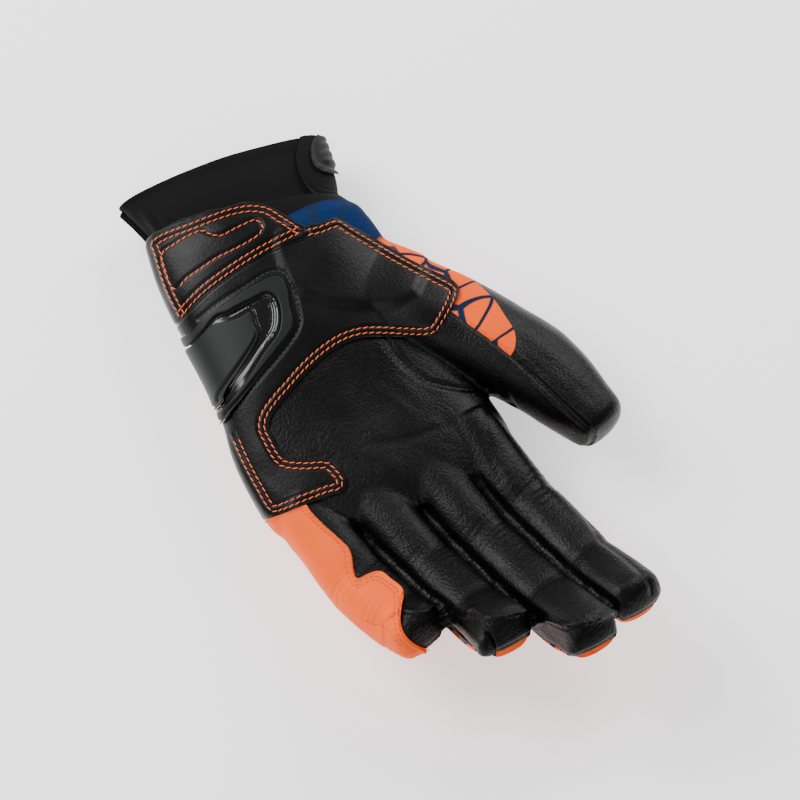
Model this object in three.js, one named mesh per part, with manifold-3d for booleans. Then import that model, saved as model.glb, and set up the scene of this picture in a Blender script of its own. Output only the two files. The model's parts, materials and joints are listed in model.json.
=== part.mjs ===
// A short-cuff motorcycle glove for the left hand, lying on its back with the palm up.
// Millimetres. +Z is up, out of the palm; the fingers point to -Y and the thumb is on the +X side.
// Leather and cloth are walls with the hand's hollow inside; overlays lie on them, one leather thick.
import * as THREE from "three";
import { mergeVertices } from "three/addons/utils/BufferGeometryUtils.js";
import Module from "manifold-3d";

const wasm = await Module();
wasm.setup();

// Driving dimensions
const WALL = 1.8; // leather or cloth with its lining
const GAP = 0.3; // air left between neighbouring pieces
const OVERLAY = 1.5; // thickness of a sewn-on leather overlay
const STRAP = 2.5; // thickness of the wrist strap
const FLOOR = 5; // height of the surface that the glove's back is flattened on
const LIMB_SIDES = 12; // points round a finger or the thumb
const HAND_SIDES = 18; // points round the hand and the cuff
const STRAP_TURN = 24.5; // height up to which the strap's band reaches, at the thumb side
const TAB_ROOT = 18.5; // height from which its tab begins there
const GRIP_LOW = 16; // height down to which the grip reaches round the thumb side
const GRIP_HEIGHT = 2; // thickness of the rubber grip on the strap
const SLIDER_FRAME_HEIGHT = 1.8; // thickness of the palm slider's frame and glossy band
const SLIDER_PLATE_HEIGHT = 2.6; // thickness of its middle plate
const OVERLAY_LOW = 15; // height down to which the overlays reach round the outer side
const SLIDER_LOW = 17; // height down to which the slider does
const SIDE_LOW = 11; // height down to which the orange patch reaches round the little finger's side
const CLEAR = 0.25; // how far the zone of a finger's palm side reaches past the wall
const STEP = 15; // spacing of a limb's sections
const CURVE_STEPS = 1.6; // points on a curved outline for each point in its table
const TIP_ROUND = 11; // length of the rounded end of a finger
const TIP_STEPS = [0.6, 0.92, 1]; // shares of the rounded end where it has sections
const TIP_SQUARE = 2.6; // exponent of that end's outline
const LIMB_SQUARE = 2.5; // exponent of a finger's rounded-square section
const BEND = 24; // stretch of a finger over which each joint's bend is spread
const OPEN = 5; // how far a hollow runs on past its opening
const PAST_WRIST = 30; // how far the zone of the hand's palm side runs on past the wrist
const ZONE_CLEAR = 1; // how far the zones of the hand and the fingertips reach past the wall
const TOP = 90; // above everything

// The hand's tube from the wrist to the finger roots. turn is the section's slant about Z in degrees,
// half is half its width, back and palm are its lowest and highest z, side is the height where it is
// widest, and square is the exponent of its rounded-square outline.
const HAND = [
  { x: -7.2, y: 107, turn: -20, half: 42.8, back: 9, palm: 45, side: 26, square: 2.4 },
  { x: -8.6, y: 92, turn: -14, half: 46, back: 8.5, palm: 46, side: 26, square: 2.5 },
  { x: -10.5, y: 72, turn: -8, half: 47, back: 6.5, palm: 45, side: 25, square: 2.6 },
  { x: -13.9, y: 45, turn: -3, half: 47.4, back: 3, palm: 43, side: 24, square: 2.7 },
  { x: -19.8, y: 15, turn: 0, half: 51.4, back: 3, palm: 39, side: 23, square: 2.8 },
  { x: -20.8, y: -15, turn: -4, half: 53.2, back: 3, palm: 38, side: 22, square: 3 },
  { x: -20, y: -32, turn: -12, half: 51, back: 5.5, palm: 37, side: 22, square: 3 },
  { x: -20, y: -44, turn: -18, half: 48, back: 9, palm: 34, side: 22, square: 3 },
];

// The cuff's tube, nested in the wrist at its first two rows and ending at its open mouth.
const CUFF = [
  { x: -8, y: 98, turn: -17, half: 41.6, back: 11.2, palm: 42.8, side: 26, square: 2.3 },
  { x: -7.2, y: 107, turn: -20, half: 40.2, back: 11.4, palm: 42.6, side: 26, square: 2.3 },
  { x: -5.5, y: 117, turn: -19, half: 42.5, back: 8.6, palm: 42.4, side: 26, square: 2.1 },
  { x: -4, y: 132.5, turn: -14, half: 45.5, back: 7.4, palm: 40, side: 26, square: 1.9 },
];

// Fingers: the knuckle's place; heading in plan (degrees from -Y towards +X), rise and roll at the three
// bones; the bones' lengths; width and depth of the sleeve at the root, the two joints and the tip, and
// there, too, how far below its middle the palm leather reaches round the sides before the back begins.
const FINGERS = [
  {
    name: "index", x: 17, y: -24, z: 22, heading: [1, 4, 6], rise: [4, 18, 34], roll: [0, -6, -12],
    bone: [44, 39, 39], width: [26, 25, 25, 26], depth: [30, 27, 24, 22], seam: [8, 8, 7, 2.5],
  },
  {
    name: "middle", x: -8.5, y: -26, z: 22, heading: [3, 4, 4], rise: [6, 24, 42], roll: [0, -6, -12],
    bone: [47, 41, 40], width: [26, 25, 25, 26.5], depth: [30, 27, 24, 22], seam: [8, 8, 7, 3.5],
  },
  {
    name: "ring", x: -34, y: -26, z: 22, heading: [3, 4, 4], rise: [8, 28, 46], roll: [0, -6, -12],
    bone: [42, 34, 30], width: [26, 25, 25, 26.5], depth: [30, 27, 24, 22], seam: [8, 8, 7, 3.5],
  },
  {
    name: "little", x: -59.5, y: -14, z: 22, heading: [2, 7, 13], rise: [6, 24, 38], roll: [0, -6, -10],
    bone: [42, 27, 21], width: [24, 27, 25, 24], depth: [29, 26, 23, 21], seam: [8, 8, 7, 6],
  },
];

// The thumb, the same way; its roll turns its pad from +Z towards -X.
const THUMB = {
  name: "thumb", x: 10, y: 66, z: 24, heading: [31, 24, 9], rise: [2, 3, 6], roll: [78, 78, 80],
  bone: [57, 42, 46], width: [32, 32, 31, 25], depth: [44, 42, 38, 25], seam: [-5, -5, -11, -10.5],
};

// How far below the hand's widest height its palm leather reaches round the sides.
const HAND_SEAM = 4;

// Outlines in plan, seen from above; each is the course of an edge or a seam on the glove.
const WRIST_EDGE = [
  [-90, 122], [-50, 117], [-38, 117], [-24, 115.5], [-12, 111.5], [-4, 105], [3, 95], [8, 84], [15, 78.5],
  [26, 76], [38, 73], [70, 73], [70, 150], [-90, 150],
];
const GUSSET = [
  [-7, 70], [60, 60], [60, 110], [-7, 120],
];
const THUMB_PATCH = [
  [7, 23], [7.5, 8], [12, -5], [22, -16], [33, -21.5], [38, -19], [44, -80], [100, -80], [100, 70], [34, 62],
  [12, 44],
];
const CAP = [
  [72, 40], [62, 33], [59.5, 22], [58.5, 8], [57, -4], [51, -10], [43, -9], [36, -16], [44, -90], [110, -90],
  [110, 40],
];
const WRIST_PATCH = [
  [-90, 116], [-50, 114], [-38, 114.5], [-24, 113], [-12, 109], [-5, 103], [1.5, 93.5], [6, 83.5], [8, 80],
  [-15, 81.6], [-46, 81.6], [-90, 79],
];
const HEEL_PATCH = [
  [-90, 78], [-46, 80.8], [-15, 80.8], [8, 79], [15, 76.5], [25, 74.5], [33, 60], [40, 43], [45.5, 25],
  [36, 15], [27, 10.5], [21, 14], [10, 25.5], [2, 29.5], [-16, 31.5], [-34, 30.5], [-47, 27.5], [-56, 21],
  [-59.5, 14], [-57, 7], [-50, 0], [-41.5, -7], [-39.5, -12.5], [-42, -17.5], [-48, -19], [-90, -10],
];
const SIDE_PATCH = [
  [-90, -13], [-75, -14.5], [-60, -17.5], [-57.5, -24], [-57, -36], [-58.5, -46], [-60, -54], [-56.5, -57],
  [-50.5, -58.5], [-48.5, -64], [-50, -72], [-55, -79], [-58, -100], [-90, -110],
];
const SLIDER = [
  [-65, 66], [-52, 70.5], [-34, 73.5], [-17, 72.5], [-12, 68], [-13, 59], [-20, 49.5], [-34, 43.5], [-50, 39],
  [-68, 30],
];
const SLIDER_BAND = [
  [-64, 64.5], [-50, 68], [-34, 68.5], [-20, 66.5], [-18, 61], [-24, 53], [-36, 48], [-50, 43.5], [-66, 36],
];
const SLIDER_PLATE = [
  [-63, 63], [-52, 65.5], [-44, 65], [-36, 60], [-35.5, 55.5], [-42, 51.5], [-52, 47.5], [-65, 41],
];
const STRAP_TAB = [
  [34, 128], [26, 119], [22.5, 107], [24, 98.5], [30, 95.5], [38, 92.5], [60, 85], [66, 118],
];
const STRAP_BAND = [
  [60, 84], [66, 112], [10, 127], [-42, 143], [-50, 141], [-53, 130], [-47, 123], [6, 107],
];
const GRIP = [
  [34, 117], [31, 108], [32.5, 99], [48, 93], [54, 110],
];

const radians = THREE.MathUtils.degToRad;

// Turns a closed buffer geometry into a manifold-3d solid.
function solid(geometry) {
  const bare = new THREE.BufferGeometry().setAttribute("position", geometry.getAttribute("position"));
  bare.setIndex(geometry.index);
  const merged = mergeVertices(bare, 1e-3);
  return new wasm.Manifold(
    new wasm.Mesh({
      numProp: 3,
      vertProperties: merged.attributes.position.array,
      triVerts: new Uint32Array(merged.index.array),
    }),
  );
}

// Closes a stack of rings, each with the same number of points, into one solid body.
function loft(rings) {
  const sides = rings[0].length;
  const points = rings.flat();
  const faces = [];
  for (let r = 0; r + 1 < rings.length; r += 1) {
    for (let i = 0; i < sides; i += 1) {
      const a = r * sides + i;
      const b = r * sides + ((i + 1) % sides);
      faces.push(a, b, a + sides, b, b + sides, a + sides);
    }
  }
  for (const [ring, start, turned] of [
    [rings[0], 0, false],
    [rings.at(-1), (rings.length - 1) * sides, true],
  ]) {
    const middle = points.length;
    points.push(ring.reduce((sum, p) => sum.add(p), new THREE.Vector3()).divideScalar(sides));
    for (let i = 0; i < sides; i += 1) {
      const a = start + i;
      const b = start + ((i + 1) % sides);
      faces.push(...(turned ? [a, b, middle] : [b, a, middle]));
    }
  }
  const geometry = new THREE.BufferGeometry().setFromPoints(points).setIndex(faces);
  const made = solid(geometry);
  return made.volume() > 0 ? made : solid(geometry.setIndex(faces.reverse()));
}

const unite = (solids) => solids.reduce((a, b) => a.add(b));

// One point of a rounded-square outline at an angle, as shares of the half width and half height.
function roundedSquare(angle, square) {
  const [c, s] = [Math.cos(angle), Math.sin(angle)];
  return [Math.sign(c) * Math.abs(c) ** (2 / square), Math.sign(s) * Math.abs(s) ** (2 / square)];
}

// The points of one section, from shares of its half width and its reach up or down.
function placeRing(row, grow, floor, shares) {
  const along = new THREE.Vector3(Math.cos(radians(row.turn)), Math.sin(radians(row.turn)), 0);
  return shares.map(([c, s]) => {
    const reach = s > 0 ? row.palm - row.side : row.side - row.back;
    const z = Math.max(floor, row.side + s * (reach + grow));
    return new THREE.Vector3(row.x, row.y, z).addScaledVector(along, c * (row.half + grow));
  });
}

// A tube through the rows of a table, its wall moved out by grow, and carried straight on past its ends.
function tube(rows, grow, floor, before, after) {
  const first = before === 0 ? [] : [{ ...rows[0], y: rows[0].y + before }];
  const last = after === 0 ? [] : [{ ...rows.at(-1), y: rows.at(-1).y + after }];
  return loft(
    [...first, ...rows, ...last].map((row) => {
      const angles = Array.from({ length: HAND_SIDES }, (_, i) => (2 * Math.PI * i) / HAND_SIDES);
      return placeRing(row, grow, floor, angles.map((angle) => roundedSquare(angle, row.square)));
    }),
  );
}

// The hand's rows, its end at the finger roots moved out by grow.
const handRows = (grow) => [...HAND.slice(0, -1), { ...HAND.at(-1), y: HAND.at(-1).y - grow }];
const handTube = (grow, floor = FLOOR - grow, past = 0) => tube(handRows(grow), grow, floor, past, 0);
const cuffFloor = FLOOR + STRAP + GAP;
const cuffTube = (grow, floor = cuffFloor - grow, past = 0) => tube(CUFF, grow, floor, -past, past);

// The part of the hand above its side seam, as a zone to cut with.
function handZone(extra) {
  const first = { ...HAND[0], y: HAND[0].y + PAST_WRIST };
  const low = HAND_SEAM + extra;
  return loft(
    [first, ...HAND].map((row) => {
      const along = new THREE.Vector3(Math.cos(radians(row.turn)), Math.sin(radians(row.turn)), 0);
      const reach = row.half + ZONE_CLEAR + extra;
      return [[-1, -low], [1, -low], [1, TOP], [-1, TOP]].map(([side, up]) =>
        new THREE.Vector3(row.x, row.y - extra, row.side + up).addScaledVector(along, side * reach),
      );
    }),
  );
}

// Smooth change from one value to the next over the joints of a limb, at a distance along it.
function alongBones(values, bones, s) {
  let at = 0;
  let value = values[0];
  for (let j = 0; j + 1 < values.length; j += 1) {
    at += bones[j];
    const share = THREE.MathUtils.clamp((s - at) / BEND + 0.5, 0, 1);
    value += (values[j + 1] - values[j]) * share * share * (3 - 2 * share);
  }
  return value;
}

// Straight change of a width or depth from joint to joint.
function alongSleeve(values, bones, s) {
  let at = 0;
  for (let j = 0; j < bones.length; j += 1) {
    if (s <= at + bones[j] || j === bones.length - 1) {
      return THREE.MathUtils.lerp(values[j], values[j + 1], Math.min(1, (s - at) / bones[j]));
    }
    at += bones[j];
  }
  return values.at(-1);
}

// Where a limb's axes point at a distance along it: forwards, across and out of its pad.
function limbAxes(limb, s) {
  const [h, r, roll] = [limb.heading, limb.rise, limb.roll].map((v) => radians(alongBones(v, limb.bone, s)));
  const side = new THREE.Vector3(Math.cos(h), Math.sin(h), 0);
  const up = new THREE.Vector3(-Math.sin(h) * Math.sin(r), Math.cos(h) * Math.sin(r), Math.cos(r));
  return {
    forward: new THREE.Vector3(Math.sin(h) * Math.cos(r), -Math.cos(h) * Math.cos(r), Math.sin(r)),
    across: side.clone().multiplyScalar(Math.cos(roll)).addScaledVector(up, Math.sin(roll)),
    pad: up.clone().multiplyScalar(Math.cos(roll)).addScaledVector(side, -Math.sin(roll)),
  };
}

// A finger or the thumb as a list of sections, the last few of them rounding off its end.
function limbSections(limb, grow) {
  const straight = limb.bone.reduce((a, b) => a + b) - TIP_ROUND;
  const count = Math.round(straight / STEP);
  const stops = Array.from({ length: count + 1 }, (_, i) => {
    return { s: (straight * i) / count, shrink: 1, end: i === count };
  });
  for (const share of TIP_STEPS) {
    const shrink = Math.max(0.05, (1 - share ** TIP_SQUARE) ** (1 / TIP_SQUARE));
    stops.push({ s: straight + (TIP_ROUND + grow) * share, shrink, end: true });
  }
  const place = new THREE.Vector3(limb.x, limb.y, limb.z);
  let walked = 0;
  return stops.map(({ s, shrink, end }) => {
    place.addScaledVector(limbAxes(limb, (walked + s) / 2).forward, s - walked);
    walked = s;
    const half = (alongSleeve(limb.width, limb.bone, s) / 2 + grow) * shrink;
    const deep = (alongSleeve(limb.depth, limb.bone, s) / 2 + grow) * shrink;
    const low = alongSleeve(limb.seam, limb.bone, s);
    return { ...limbAxes(limb, s), place: place.clone(), half, deep, low, shrink, end };
  });
}

function limbRing({ place, across, pad, half, deep }) {
  return Array.from({ length: LIMB_SIDES }, (_, i) => {
    const [c, s] = roundedSquare((2 * Math.PI * i) / LIMB_SIDES, LIMB_SQUARE);
    return place.clone().addScaledVector(across, c * half).addScaledVector(pad, s * deep);
  });
}

// A limb's sleeve from its root, inside the hand, to its closed end, its wall moved out by grow.
function limbTube(limb, grow) {
  const [root, ...rest] = limbSections(limb, grow);
  const back = { ...root, place: root.place.clone().addScaledVector(root.forward, -grow) };
  return loft([back, ...rest].map(limbRing));
}

// The part of a limb on the pad side of its seam, as a zone to cut with, extra mm larger all round.
function limbZone(limb, extra) {
  return loft(
    limbSections(limb, CLEAR + extra).map(({ place, across, pad, half, deep, low, shrink }) => {
      const [wide, high] = [half / shrink, deep / shrink];
      return [[-wide, -low - extra], [wide, -low - extra], [wide, high], [-wide, high]].map(([c, s]) =>
        place.clone().addScaledVector(across, c).addScaledVector(pad, s),
      );
    }),
  );
}

// The rounded end of a finger, as a zone to cut with, extra mm larger all round.
function tipZone(limb, extra) {
  const rings = limbSections(limb, ZONE_CLEAR + extra).filter((section) => section.end);
  const first = { ...rings[0], place: rings[0].place.clone().addScaledVector(rings[0].forward, -extra) };
  return loft([first, ...rings.slice(1)].map(limbRing));
}

// A closed outline of points, rounded at its corners, as an upright prism from z low to z high.
// out moves its edge outwards.
function prism(points, low, high, out = 0) {
  const knots = points.map(([x, y]) => new THREE.Vector3(x, y, 0));
  const curve = new THREE.CatmullRomCurve3(knots, true, "centripetal");
  const sampled = curve.getPoints(Math.round(points.length * CURVE_STEPS)).slice(0, -1);
  let path = sampled.map((p) => new THREE.Vector2(p.x, p.y));
  if (THREE.ShapeUtils.area(path) < 0) path.reverse();
  if (out !== 0) {
    path = path.map((p, i) => {
      const before = path.at(i - 1);
      const after = path[(i + 1) % path.length];
      const run = after.clone().sub(before).normalize();
      return new THREE.Vector2(p.x + run.y * out, p.y - run.x * out);
    });
  }
  const flat = new THREE.Shape(path);
  const geometry = new THREE.ExtrudeGeometry(flat, { depth: high - low, bevelEnabled: false });
  geometry.translate(0, 0, low);
  geometry.deleteAttribute("normal");
  geometry.deleteAttribute("uv");
  return solid(mergeVertices(geometry, 1e-3));
}

// The whole glove's skin, moved out by grow and filled.
function skin(grow) {
  return unite([handTube(grow), ...FINGERS.map((f) => limbTube(f, grow)), limbTube(THUMB, grow)]);
}

// Everything on the palm side of the seams, which lie extra mm lower than named.
function padZone(extra) {
  return unite([
    handZone(extra),
    ...FINGERS.map((f) => limbZone(f, extra)),
    limbZone(THUMB, extra),
  ]);
}

const glove = new THREE.Group();

function addPiece(name, made, colour, roughness, metalness = 0) {
  const mesh = made.getMesh();
  const geometry = new THREE.BufferGeometry()
    .setAttribute("position", new THREE.BufferAttribute(mesh.vertProperties, 3))
    .setIndex(new THREE.BufferAttribute(mesh.triVerts, 1));
  const material = new THREE.MeshStandardMaterial({ color: colour, roughness, metalness });
  const piece = new THREE.Mesh(geometry, material);
  piece.name = name;
  glove.add(piece);
}

// The largest body of a cut, without slivers that a seam may shave off.
function mainBody(made) {
  return made.decompose().reduce((a, b) => (b.volume() > a.volume() ? b : a));
}

const LEATHER = 0x1d1d1d;
const ORANGE = 0xf07a42;
const BLUE = 0x1a4688;
const ORANGE_LEATHER = 0xf58648;
const BAND = 0x17191b;
const RUBBER = 0x3a3c3f;
const PLASTIC = 0x2a2c2e;
const GLOSS = 0x0c0c0d;

// The glove's own walls
const filled = skin(0);
const hollow = unite([
  handTube(-WALL, FLOOR + WALL, OPEN),
  ...FINGERS.map((f) => limbTube(f, -WALL)),
  limbTube(THUMB, -WALL),
]);
const shell = filled.subtract(hollow);
const palmWall = shell.intersect(padZone(0));
const padSide = palmWall.subtract(prism(WRIST_EDGE, 0, TOP));
const backSide = shell.subtract(padZone(GAP));
const capped = FINGERS.filter((finger) => finger.name !== "index");
const tips = unite(capped.map((f) => tipZone(f, GAP)));
const thumbPatch = prism(THUMB_PATCH, 0, TOP);
const palm = padSide.subtract(prism(THUMB_PATCH, 0, TOP, GAP)).subtract(tips);
const back = backSide.subtract(prism(CAP, 0, TOP, GAP));
addPiece("palm_leather", mainBody(palm), LEATHER, 0.55);
addPiece("thumb_leather", mainBody(padSide.intersect(thumbPatch)), LEATHER, 0.55);
addPiece("thumb_cap", mainBody(backSide.intersect(prism(CAP, 0, TOP))), LEATHER, 0.55);
addPiece("back_cloth", mainBody(back), ORANGE, 0.8);
const gusset = palmWall.intersect(prism(WRIST_EDGE, 0, TOP, -GAP)).intersect(prism(GUSSET, 0, TOP));
addPiece("wrist_gusset", mainBody(gusset), BLUE, 0.8);
for (const finger of capped) {
  addPiece(finger.name + "_tip", mainBody(padSide.intersect(tipZone(finger, 0))), LEATHER, 0.5);
}

// The cuff, a stretch band nested in the wrist
addPiece("cuff", cuffTube(0).subtract(cuffTube(-WALL, cuffFloor + WALL, OPEN)), BAND, 0.85);

// The strap lies across the back of the cuff and its tab comes round the thumb side to the palm side.
const strapZone = unite([prism(STRAP_TAB, TAB_ROOT, TOP), prism(STRAP_BAND, 0, STRAP_TURN)]);
const strapOuter = cuffTube(GAP + STRAP, FLOOR);
const strap = strapOuter.subtract(cuffTube(GAP, FLOOR + STRAP, OPEN)).intersect(strapZone);
addPiece("wrist_strap", mainBody(strap), BAND, 0.9);
const gripSeat = 2 * GAP + STRAP;
const grip = cuffTube(gripSeat + GRIP_HEIGHT, FLOOR).subtract(cuffTube(gripSeat, FLOOR));
addPiece("strap_grip", mainBody(grip.intersect(prism(GRIP, GRIP_LOW, TOP))), RUBBER, 0.45);

// Overlays, one leather thick, on the palm
const overlay = skin(GAP + OVERLAY).subtract(skin(GAP));
const heel = prism(HEEL_PATCH, 0, TOP, GAP);
const wristPatch = overlay.intersect(prism(WRIST_PATCH, OVERLAY_LOW, TOP)).subtract(heel);
const sidePatch = overlay.intersect(prism(SIDE_PATCH, SIDE_LOW, TOP)).subtract(heel);
addPiece("wrist_overlay", mainBody(wristPatch), LEATHER, 0.5);
addPiece("heel_overlay", mainBody(overlay.intersect(prism(HEEL_PATCH, OVERLAY_LOW, TOP))), LEATHER, 0.5);
addPiece("side_patch", mainBody(sidePatch), ORANGE_LEATHER, 0.6);

// The palm slider: a moulded plate in a glossy band in a frame, on the heel overlay
const seat = 2 * GAP + OVERLAY;
const frameSkin = skin(seat + SLIDER_FRAME_HEIGHT).subtract(skin(seat));
const plateSkin = skin(seat + SLIDER_PLATE_HEIGHT).subtract(skin(seat));
const frame = frameSkin.intersect(prism(SLIDER, SLIDER_LOW, TOP)).subtract(prism(SLIDER_BAND, 0, TOP, GAP));
const plateHole = prism(SLIDER_PLATE, 0, TOP, GAP);
const band = frameSkin.intersect(prism(SLIDER_BAND, SLIDER_LOW, TOP)).subtract(plateHole);
addPiece("slider_frame", mainBody(frame), PLASTIC, 0.6);
addPiece("slider_band", mainBody(band), GLOSS, 0.15);
addPiece("slider_plate", mainBody(plateSkin.intersect(prism(SLIDER_PLATE, SLIDER_LOW, TOP))), PLASTIC, 0.55);

// The origin is moved to the middle of the underside of the whole glove.
const bounds = new THREE.Box3().setFromObject(glove);
glove.position.set(-(bounds.min.x + bounds.max.x) / 2, -(bounds.min.y + bounds.max.y) / 2, -bounds.min.z);

export default glove;
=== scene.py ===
# %% [markdown]
# # A leather motorcycle glove
# The glove lies on its back, palm up. Its solids come from the CAD frame, which fixes every size.
# Here the same glove gets its looks: soft leather with folds and grain, sewn overlays with their
# stitches, a printed cloth back, a stretch cuff, a strap and a moulded palm slider.
# All lengths in the tables are millimetres; Blender itself works in metres.

import json
import math

import bmesh
import bpy
import numpy as np
from mathutils import Matrix, Vector
from mathutils.bvhtree import BVHTree
from mathutils.kdtree import KDTree

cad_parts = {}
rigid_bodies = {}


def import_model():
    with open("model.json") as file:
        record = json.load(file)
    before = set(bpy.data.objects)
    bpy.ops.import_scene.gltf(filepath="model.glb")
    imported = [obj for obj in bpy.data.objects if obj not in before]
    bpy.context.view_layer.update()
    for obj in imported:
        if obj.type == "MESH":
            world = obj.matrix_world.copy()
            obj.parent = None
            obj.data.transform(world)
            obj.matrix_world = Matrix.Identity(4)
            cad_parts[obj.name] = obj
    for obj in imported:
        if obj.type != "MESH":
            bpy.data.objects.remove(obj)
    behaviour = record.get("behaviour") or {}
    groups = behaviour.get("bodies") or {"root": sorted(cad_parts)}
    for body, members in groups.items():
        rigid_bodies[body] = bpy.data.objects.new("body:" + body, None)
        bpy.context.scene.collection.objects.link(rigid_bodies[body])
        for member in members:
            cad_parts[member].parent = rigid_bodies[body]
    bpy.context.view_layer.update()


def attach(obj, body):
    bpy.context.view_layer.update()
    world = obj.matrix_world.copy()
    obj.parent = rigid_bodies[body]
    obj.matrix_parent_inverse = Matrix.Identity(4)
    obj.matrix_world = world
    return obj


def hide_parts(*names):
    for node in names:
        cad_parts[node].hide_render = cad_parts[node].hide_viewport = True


for leftover in list(bpy.data.objects):
    bpy.data.objects.remove(leftover)
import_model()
MM = 0.001
SHIFT = Vector((0.073, -0.104, -5.0))  # from the tables' own origin to the frame's, in mm


def placed(name, data):
    """A new object in the scene."""
    made = bpy.data.objects.new(name, data)
    bpy.context.scene.collection.objects.link(made)
    return made


# %% [markdown]
# ## The camera
# A camera is easier to set from three axes than from angles: where it looks from, its right and its up.
# Making it first has a second use: points read off the picture can be sent back along its rays.

# %% Camera
AZIMUTH, ELEVATION, DISTANCE = -35.0, 70.0, 1000.0
PIXEL = 0.42  # mm on the glove for each pixel of the picture
FRAME = 800  # pixels across the picture
SENSOR = 36.0
LOOK_AT = Vector((0.0, 0.0, 30.0)) + SHIFT

turn, lift = math.radians(AZIMUTH), math.radians(ELEVATION)
toward_camera = Vector((math.sin(turn) * math.cos(lift), -math.cos(turn) * math.cos(lift), math.sin(lift)))
camera_right = Vector((math.cos(turn), math.sin(turn), 0.0))
camera_up = toward_camera.cross(camera_right)
view = np.array(toward_camera)

camera_data = bpy.data.cameras.new("camera")
camera_data.sensor_width = SENSOR
camera_data.lens = SENSOR * DISTANCE / (FRAME * PIXEL)
camera = placed("camera", camera_data)
axes = Matrix((camera_right, camera_up, toward_camera)).transposed().to_4x4()
camera.matrix_world = Matrix.Translation((LOOK_AT + toward_camera * DISTANCE) * MM) @ axes
bpy.context.scene.camera = camera
print("camera at", tuple(round(v, 3) for v in camera.location), "lens", round(camera_data.lens, 1))


def picture_ray(u, v):
    """Where the camera's ray through a picture point starts and which way it goes, in mm."""
    start = LOOK_AT + toward_camera * DISTANCE
    middle = FRAME / 2
    end = LOOK_AT + camera_right * ((u - middle) * PIXEL) + camera_up * ((middle - v) * PIXEL)
    return start, (end - start).normalized()


def picture_of(points):
    """Where points of the glove, in mm, show in the picture."""
    offset = points + np.array(SHIFT) - np.array(LOOK_AT)
    scale = DISTANCE / (DISTANCE - offset @ view) / PIXEL
    return np.stack([FRAME / 2 + offset @ np.array(camera_right) * scale,
                     FRAME / 2 - offset @ np.array(camera_up) * scale], axis=1)


# %% [markdown]
# ## The tables
# These are the form's own sizes, the same as the solids have: sections of the hand and the cuff, and
# the bones of each finger. The outlines of the leather pieces are read off the picture, so they are in
# its own points, across and down. The strap's band is the one outline in plan.

# %% Sections of the hand and the cuff
# x, y, turn about Z, half width, lowest z, highest z, z where it is widest, squareness
HAND = [
    (-7.2, 107, -20, 42.8, 9, 45, 26, 2.4),
    (-8.6, 92, -14, 46, 8.5, 46, 26, 2.5),
    (-10.5, 72, -8, 47, 6.5, 45, 25, 2.6),
    (-13.9, 45, -3, 47.4, 3, 43, 24, 2.7),
    (-19.8, 15, 0, 51.4, 3, 39, 23, 2.8),
    (-20.8, -15, -4, 53.2, 3, 38, 22, 3),
    (-20, -32, -12, 51, 5.5, 37, 22, 3),
    (-20, -44, -18, 48, 9, 34, 22, 3),
]
CUFF = [
    (-8, 98, -17, 41.6, 11.2, 42.8, 26, 2.3),
    (-7.2, 107, -20, 40.2, 11.4, 42.6, 26, 2.3),
    (-5.5, 117, -19, 42.5, 8.6, 42.4, 26, 2.1),
    (-4, 132.5, -14, 45.5, 7.4, 40, 26, 1.9),
]

# %% Bones of the fingers and the thumb
# place of the root; heading, rise and roll of each bone; its length; then width, depth and the seam's
# distance below the middle at the root, the two joints and the tip
LIMBS = {
    "index": dict(root=(17, -24, 22), heading=(1, 4, 6), rise=(4, 18, 34), roll=(0, -6, -12),
                  bone=(44, 39, 39), width=(26, 25, 25, 26), depth=(30, 27, 24, 22), seam=(8, 8, 7, 2.5)),
    "middle": dict(root=(-8.5, -26, 22), heading=(3, 4, 4), rise=(6, 24, 42), roll=(0, -6, -12),
                   bone=(47, 41, 40), width=(26, 25, 25, 26.5), depth=(30, 27, 24, 22),
                   seam=(8, 8, 7, 3.5)),
    "ring": dict(root=(-34, -26, 22), heading=(3, 4, 4), rise=(8, 28, 46), roll=(0, -6, -12),
                 bone=(42, 34, 30), width=(26, 25, 25, 26.5), depth=(30, 27, 24, 22), seam=(8, 8, 7, 3.5)),
    "little": dict(root=(-59.5, -14, 22), heading=(2, 7, 13), rise=(6, 24, 38), roll=(0, -6, -10),
                   bone=(42, 27, 21), width=(24, 27, 25, 24), depth=(29, 26, 23, 21), seam=(8, 8, 7, 6)),
    "thumb": dict(root=(10, 66, 24), heading=(31, 24, 9), rise=(2, 3, 6), roll=(78, 78, 80),
                  bone=(57, 42, 46), width=(32, 32, 31, 25), depth=(44, 42, 38, 25),
                  seam=(-5, -5, -11, -10.5)),
}
HAND_MIDDLE, CUFF_MIDDLE = 23.0, 26.0  # heights at which the hand and the wrist are widest
HAND_SEAM = 4.0  # how far below the hand's widest place its side seam runs
TIP_ROUND = 11.0  # length of a finger's rounded end
WALL = 1.6  # thickness of the leather and the cloth
SEAM_GAP = 0.12  # between the leather of the palm side and the back
BOTTOM, TOP = -20.0, 90.0  # below and above everything

# %% The strap's band, in plan
STRAP_BAND = [(60, 84), (66, 112), (10, 127), (-42, 143), (-50, 141), (-53, 130), (-47, 123), (6, 107)]

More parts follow.
